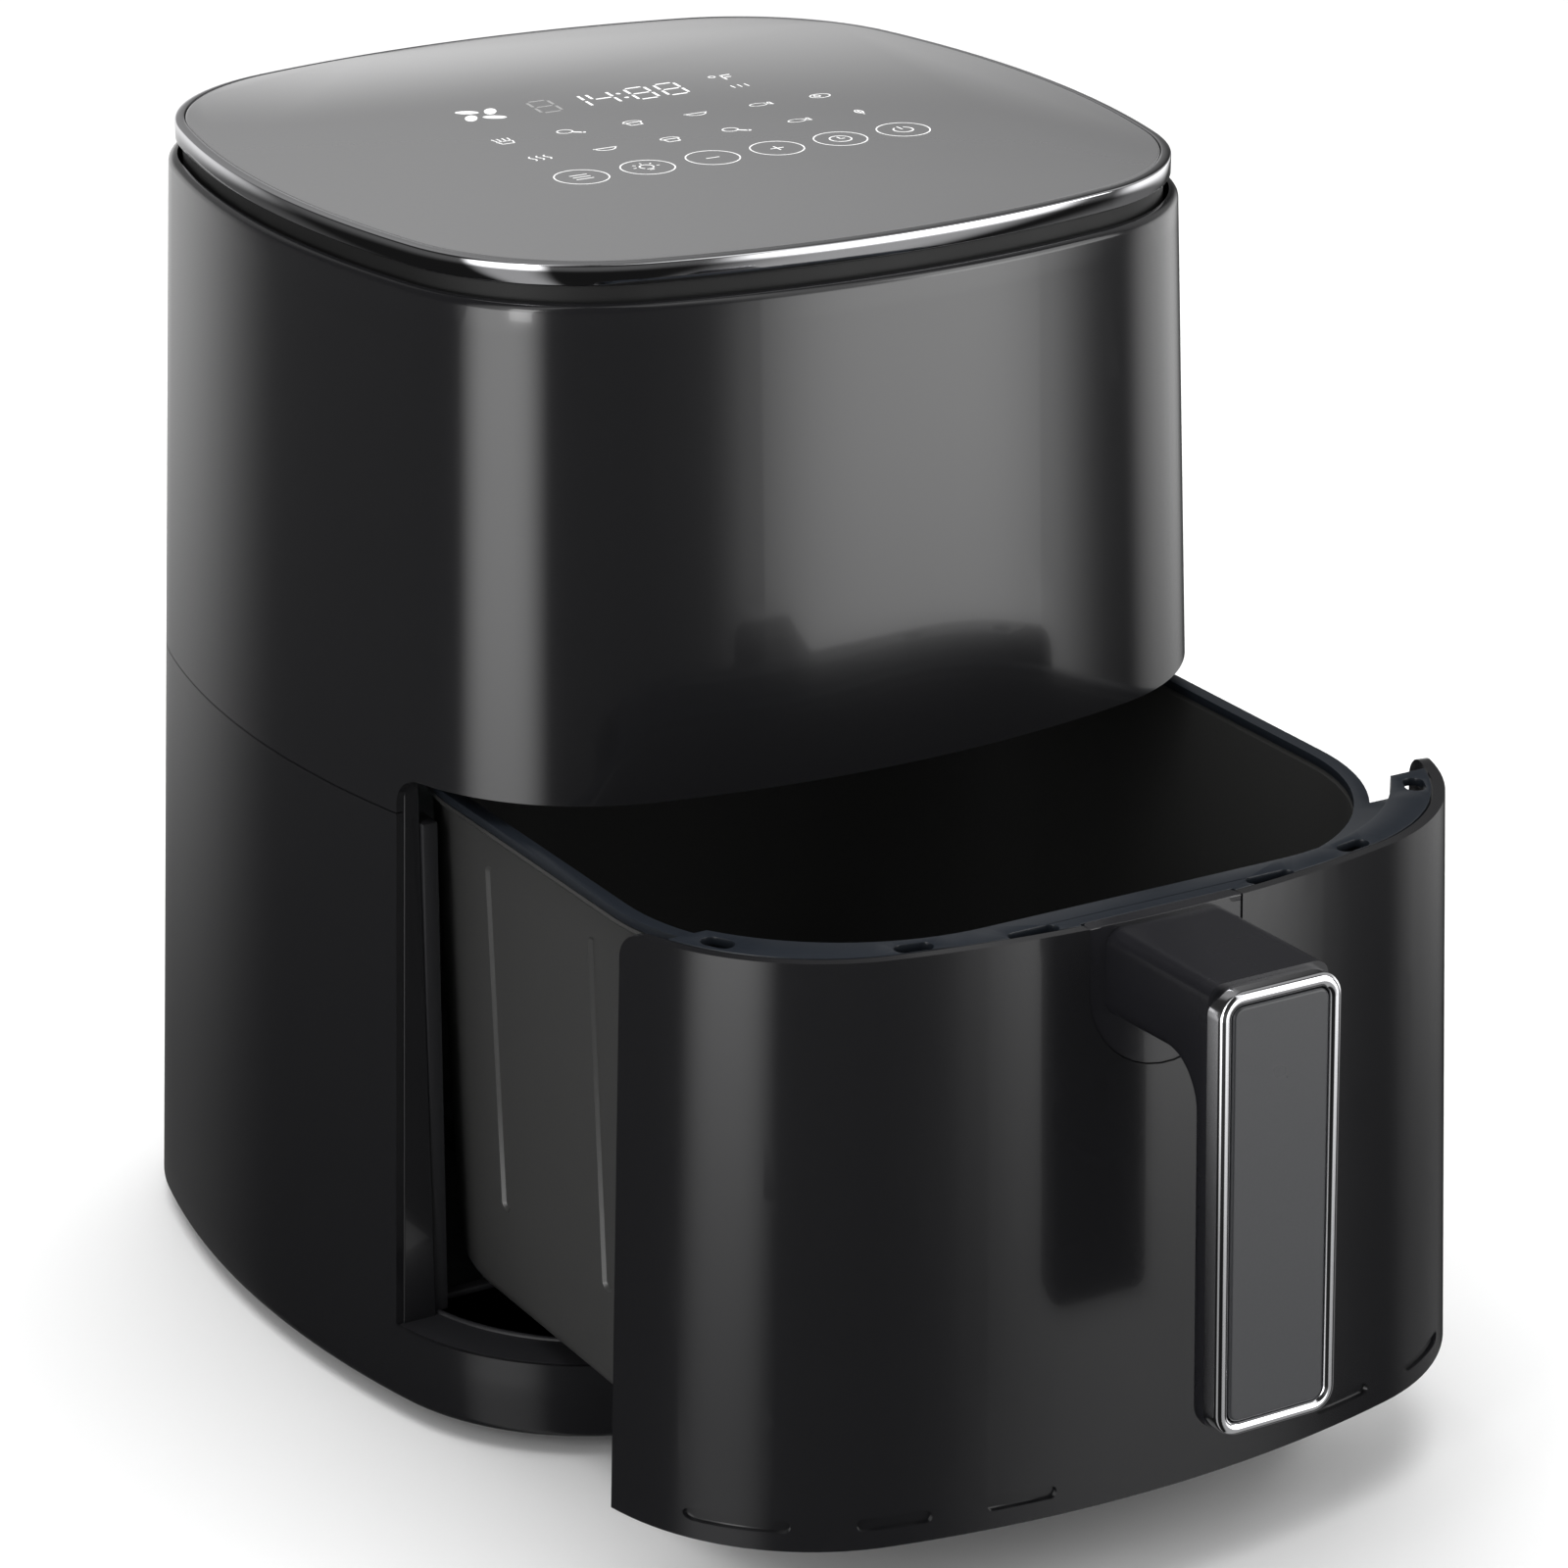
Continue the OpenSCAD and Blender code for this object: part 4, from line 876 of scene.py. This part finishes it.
# %% Handle sizes and placing
LEAN = math.atan(TAPER)
HANDLE_HALF = 17.7 * MM
HANDLE_OUT = 47.6 * MM
GRIP_TOP = FRONT_Z[1] - 1 * MM
GRIP_L = 117.4 * MM
GRIP_T = 13 * MM
FRAME_T, FRAME_W, FRAME_R = 5.8 * MM, 3.6 * MM, 6.5 * MM
ARM_H = 23 * MM
ARM_UP = (GRIP_TOP - FOOT) / math.cos(LEAN)
FACE_UP = ARM_UP - HANDLE_OUT * math.tan(LEAN)
FACE_LOW = ARM_UP - GRIP_L
LEANING = Matrix.Translation((0, SHIFT - HALF, FOOT)) @ Matrix.Rotation(-LEAN, 4, "X")


def rounded_face(half_w, low, high, radius):
    """An upright rectangle with round corners in the XZ plane, as one face facing -Y."""
    bm = bmesh.new()
    bmesh.ops.create_grid(bm, x_segments=1, y_segments=1, size=0.5)
    for v in bm.verts:
        v.co = Vector((v.co.x * 2 * half_w, 0, (low + high) / 2 + v.co.y * (high - low)))
    bmesh.ops.bevel(bm, geom=list(bm.verts), offset=radius, offset_type="OFFSET", segments=8,
                    profile=0.5, affect="VERTICES", material=-1)
    bm.normal_update()
    for face in bm.faces:
        if face.normal.y > 0:
            face.normal_flip()
    return bm


# %% Bright frame
FRAME_SHARP = 0.8
ring_bm = rounded_face(HANDLE_HALF, FACE_LOW, FACE_UP, FRAME_R)
middle = list(ring_bm.faces)
bmesh.ops.inset_region(ring_bm, faces=middle, thickness=FRAME_W, use_boundary=True,
                       use_even_offset=True)
bmesh.ops.delete(ring_bm, geom=middle, context="FACES")
bmesh.ops.translate(ring_bm, vec=(0, -HANDLE_OUT, 0), verts=ring_bm.verts)
thicken(ring_bm, ring_bm.faces, (0, FRAME_T, 0))
bmesh.ops.recalc_face_normals(ring_bm, faces=ring_bm.faces)
front_edges = [e for e in ring_bm.edges if e.calc_face_angle(0) > FRAME_SHARP
               and all(abs(v.co.y + HANDLE_OUT) < SAME for v in e.verts)]
bmesh.ops.bevel(ring_bm, geom=front_edges, offset=1.5 * MM, segments=5, profile=0.5,
                affect="EDGES", material=-1, clamp_overlap=True)
bmesh.ops.transform(ring_bm, matrix=LEANING, verts=ring_bm.verts)
new_piece("bright_handle_frame", ring_bm, "drawer", "bright_frame", ["handle_frame"], sharp=50)

# %% Satin insert
INSERT_GAP, INSERT_SUNK = 0.15 * MM, 0.3 * MM
insert = rounded_face(HANDLE_HALF - FRAME_W - INSERT_GAP, FACE_LOW + FRAME_W + INSERT_GAP,
                      FACE_UP - FRAME_W - INSERT_GAP, FRAME_R - FRAME_W)
bmesh.ops.translate(insert, vec=(0, -HANDLE_OUT + INSERT_SUNK, 0), verts=insert.verts)
thicken(insert, insert.faces, (0, FRAME_T - INSERT_SUNK, 0))
bmesh.ops.recalc_face_normals(insert, faces=insert.faces)
bmesh.ops.transform(insert, matrix=LEANING, verts=insert.verts)
new_piece("handle_insert", insert, "drawer", "inlay_grey", ["handle_inlay"], edge=0.8 * MM)

# %% Arm and grip
BEND, HEEL, ROOT_IN = 12 * MM, 5 * MM, 2.2 * MM
BODY_HALF = HANDLE_HALF - 0.2 * MM
face_y = -HANDLE_OUT + FRAME_T + 0.05 * MM
back_y = -HANDLE_OUT + GRIP_T
under = ARM_UP - ARM_H


def swing_x(bm, start, centre, angle, steps):
    """Swings one vertex about a line along X and returns the last vertex."""
    out = bmesh.ops.spin(bm, geom=[start], cent=centre, axis=(1, 0, 0), angle=angle, steps=steps)
    return out["geom_last"][0]


grip = bmesh.new()
root_top = grip.verts.new((-BODY_HALF, ROOT_IN, ARM_UP))
nose_top = grip.verts.new((-BODY_HALF, face_y, FACE_UP + 1 * MM))
nose_low = grip.verts.new((-BODY_HALF, face_y, FACE_LOW + 0.3 * MM))
heel_start = grip.verts.new((-BODY_HALF, back_y - HEEL, FACE_LOW + 0.3 * MM))
heel_end = swing_x(grip, heel_start, (-BODY_HALF, back_y - HEEL, FACE_LOW + 0.3 * MM + HEEL),
                   math.pi / 2, 6)
bend_start = grip.verts.new((-BODY_HALF, back_y, under - BEND))
bend_end = swing_x(grip, bend_start, (-BODY_HALF, back_y + BEND, under - BEND), -math.pi / 2, 10)
root_low = grip.verts.new((-BODY_HALF, ROOT_IN, under))
for a, b in ((root_top, nose_top), (nose_top, nose_low), (nose_low, heel_start),
             (heel_end, bend_start), (bend_end, root_low), (root_low, root_top)):
    grip.edges.new((a, b))
bmesh.ops.edgeloop_fill(grip, edges=list(grip.edges))
thicken(grip, grip.faces, (2 * BODY_HALF, 0, 0))
bmesh.ops.recalc_face_normals(grip, faces=grip.faces)


def on_side(edge):
    """True for an edge along the outline of either side, away from the root and the frame."""
    same_x = abs(edge.verts[0].co.x - edge.verts[1].co.x) < SAME
    at_root = all(v.co.y > 2 * MM for v in edge.verts)
    at_face = all(v.co.y < face_y + 0.1 * MM for v in edge.verts)
    return same_x and not at_root and not at_face


bmesh.ops.bevel(grip, geom=[e for e in grip.edges if on_side(e)], offset=4.2 * MM, segments=6,
                profile=0.5, affect="EDGES", material=-1, clamp_overlap=True)
bmesh.ops.transform(grip, matrix=LEANING, verts=grip.verts)
new_piece("grip_moulding", grip, "drawer", "grip_black", ["handle_body"], sharp=40)

# %% [markdown]
# ## Setting the stage
# A gloss black body shows little but what it reflects, and its upright walls reflect what lies
# low around it. So the surround has three faces. The eye sees plain white. Matt surfaces get an
# even light from it. Gloss surfaces see a dim room with a few tall soft panels, which draw the
# upright highlights on the corners and on the broad front.

# %% World
scene = bpy.context.scene
scene.view_settings.view_transform = "Standard"
world = bpy.data.worlds.new("studio")
scene.world = world
world.use_nodes = True
wn, wl = world.node_tree.nodes, world.node_tree.links
DIM_ROOM, EVEN_LIGHT = 0.09, 0.62


def value(operation, first, second):
    """A maths node fed by sockets or by plain numbers."""
    node = wn.new("ShaderNodeMath")
    node.operation = operation
    for slot, source in zip(node.inputs, (first, second)):
        if isinstance(source, (int, float)):
            slot.default_value = source
        else:
            wl.new(source, slot)
    return node.outputs[0]


def ramp(source, start, end, low=0.0, high=1.0):
    """A soft step from low to high while the source goes from start to end."""
    node = wn.new("ShaderNodeMapRange")
    node.interpolation_type = "SMOOTHSTEP"
    wl.new(source, node.inputs["Value"])
    for name, number in (("From Min", start), ("From Max", end), ("To Min", low), ("To Max", high)):
        node.inputs[name].default_value = number
    return node.outputs[0]


def vector(operation, first, constant):
    """A vector node fed by a socket and a constant."""
    node = wn.new("ShaderNodeVectorMath")
    node.operation = operation
    wl.new(first, node.inputs[0])
    if constant is not None:
        node.inputs[1].default_value = constant
    return node


incoming = wn.new("ShaderNodeNewGeometry").outputs["Incoming"]
ray = vector("MULTIPLY", incoming, (-1, -1, -1)).outputs[0]
flat = vector("MULTIPLY", ray, (1, 1, 0)).outputs[0]
flat = vector("NORMALIZE", flat, None).outputs[0]
split = wn.new("ShaderNodeSeparateXYZ")
wl.new(ray, split.inputs[0])
height = split.outputs["Z"]
PANELS = {"front": (-57, 2, 25, 3.6), "corner": (-160, 3, 24, 3.4), "left_edge": (84, 6, 38, 0.8),
          "right_edge": (8, 4, 36, 1.3)}
glow = DIM_ROOM
for name, (bearing, core, reach, strength) in PANELS.items():
    aim = (math.cos(math.radians(bearing)), math.sin(math.radians(bearing)), 0)
    facing = vector("DOT_PRODUCT", flat, aim).outputs["Value"]
    lobe = ramp(facing, math.cos(math.radians(reach)), math.cos(math.radians(core)), 0.0, strength)
    glow = value("ADD", lobe, glow)
below = ramp(height, -0.40, -0.20, 0.10, 1.0)
above = ramp(height, 0.02, 0.25, 1.0, 0.3)
glow = value("MULTIPLY", value("MULTIPLY", glow, below), above)


def backdrop(strength):
    """A white background shader of a given or fed strength."""
    node = wn.new("ShaderNodeBackground")
    node.inputs["Color"].default_value = (1, 1, 1, 1)
    if isinstance(strength, float):
        node.inputs["Strength"].default_value = strength
    else:
        wl.new(strength, node.inputs["Strength"])
    return node.outputs["Background"]


def choose(test, when_false, when_true):
    """Mixes two background shaders by what kind of ray asks."""
    node = wn.new("ShaderNodeMixShader")
    wl.new(test, node.inputs["Fac"])
    wl.new(when_false, node.inputs[1])
    wl.new(when_true, node.inputs[2])
    return node.outputs["Shader"]


path = wn.new("ShaderNodeLightPath")
room = choose(path.outputs["Is Glossy Ray"], backdrop(EVEN_LIGHT), backdrop(glow))
seen = choose(path.outputs["Is Camera Ray"], room, backdrop(1.0))
wl.new(seen, wn["World Output"].inputs["Surface"])
print("panels:", len(PANELS))

# %% Floor
floor_bm = bmesh.new()
bmesh.ops.create_circle(floor_bm, cap_ends=True, segments=96, radius=6.0)
bmesh.ops.translate(floor_bm, vec=(0, 0, -0.02 * MM), verts=floor_bm.verts)
floor_mesh = bpy.data.meshes.new("floor")
floor_bm.to_mesh(floor_mesh)
floor_bm.free()
floor = bpy.data.objects.new("floor", floor_mesh)
scene.collection.objects.link(floor)
floor.visible_glossy = False
floor_mesh.materials.append(finish("floor_paper", (0.86, 0.86, 0.86), 0.6, tint=0.01))


# %% Soft boxes
def soft_box(name, place, aim, width, height, power, mirrored=True):
    """A rectangular light that faces its aim, and may be left out of reflections."""
    light = bpy.data.lights.new(name, "AREA")
    light.shape = "RECTANGLE"
    light.size, light.size_y, light.energy = width, height, power
    obj = bpy.data.objects.new(name, light)
    obj.location = place
    obj.rotation_euler = (Vector(aim) - Vector(place)).to_track_quat("-Z", "Y").to_euler()
    obj.visible_glossy = mirrored
    scene.collection.objects.link(obj)


soft_box("left_box", (-1.5, -0.9, 0.75), (0, -0.05, 0.16), 0.35, 1.3, 7)
soft_box("right_box", (1.5, -1.5, 0.9), (0, -0.05, 0.16), 1.1, 1.3, 10)
soft_box("overhead", (0.1, 0.4, 2.2), (0, 0, 0), 2.4, 2.4, 62, mirrored=False)

# %% [markdown]
# ## The camera
# It stands to the left of the front and looks down a little, with a long lens, so upright
# edges stay nearly parallel.

# %% Camera
LENS, SENSOR = 123.16, 36.0
cam_data = bpy.data.cameras.new("camera")
cam_data.lens, cam_data.sensor_width = LENS, SENSOR
cam_data.shift_x, cam_data.shift_y = 0.0307, 0.0301
camera = bpy.data.objects.new("camera", cam_data)
camera.location = (-0.6992, -1.2320, 0.6835)
camera.rotation_euler = (math.radians(90 - 21.71), 0, math.radians(-30.33))
scene.collection.objects.link(camera)
scene.camera = camera
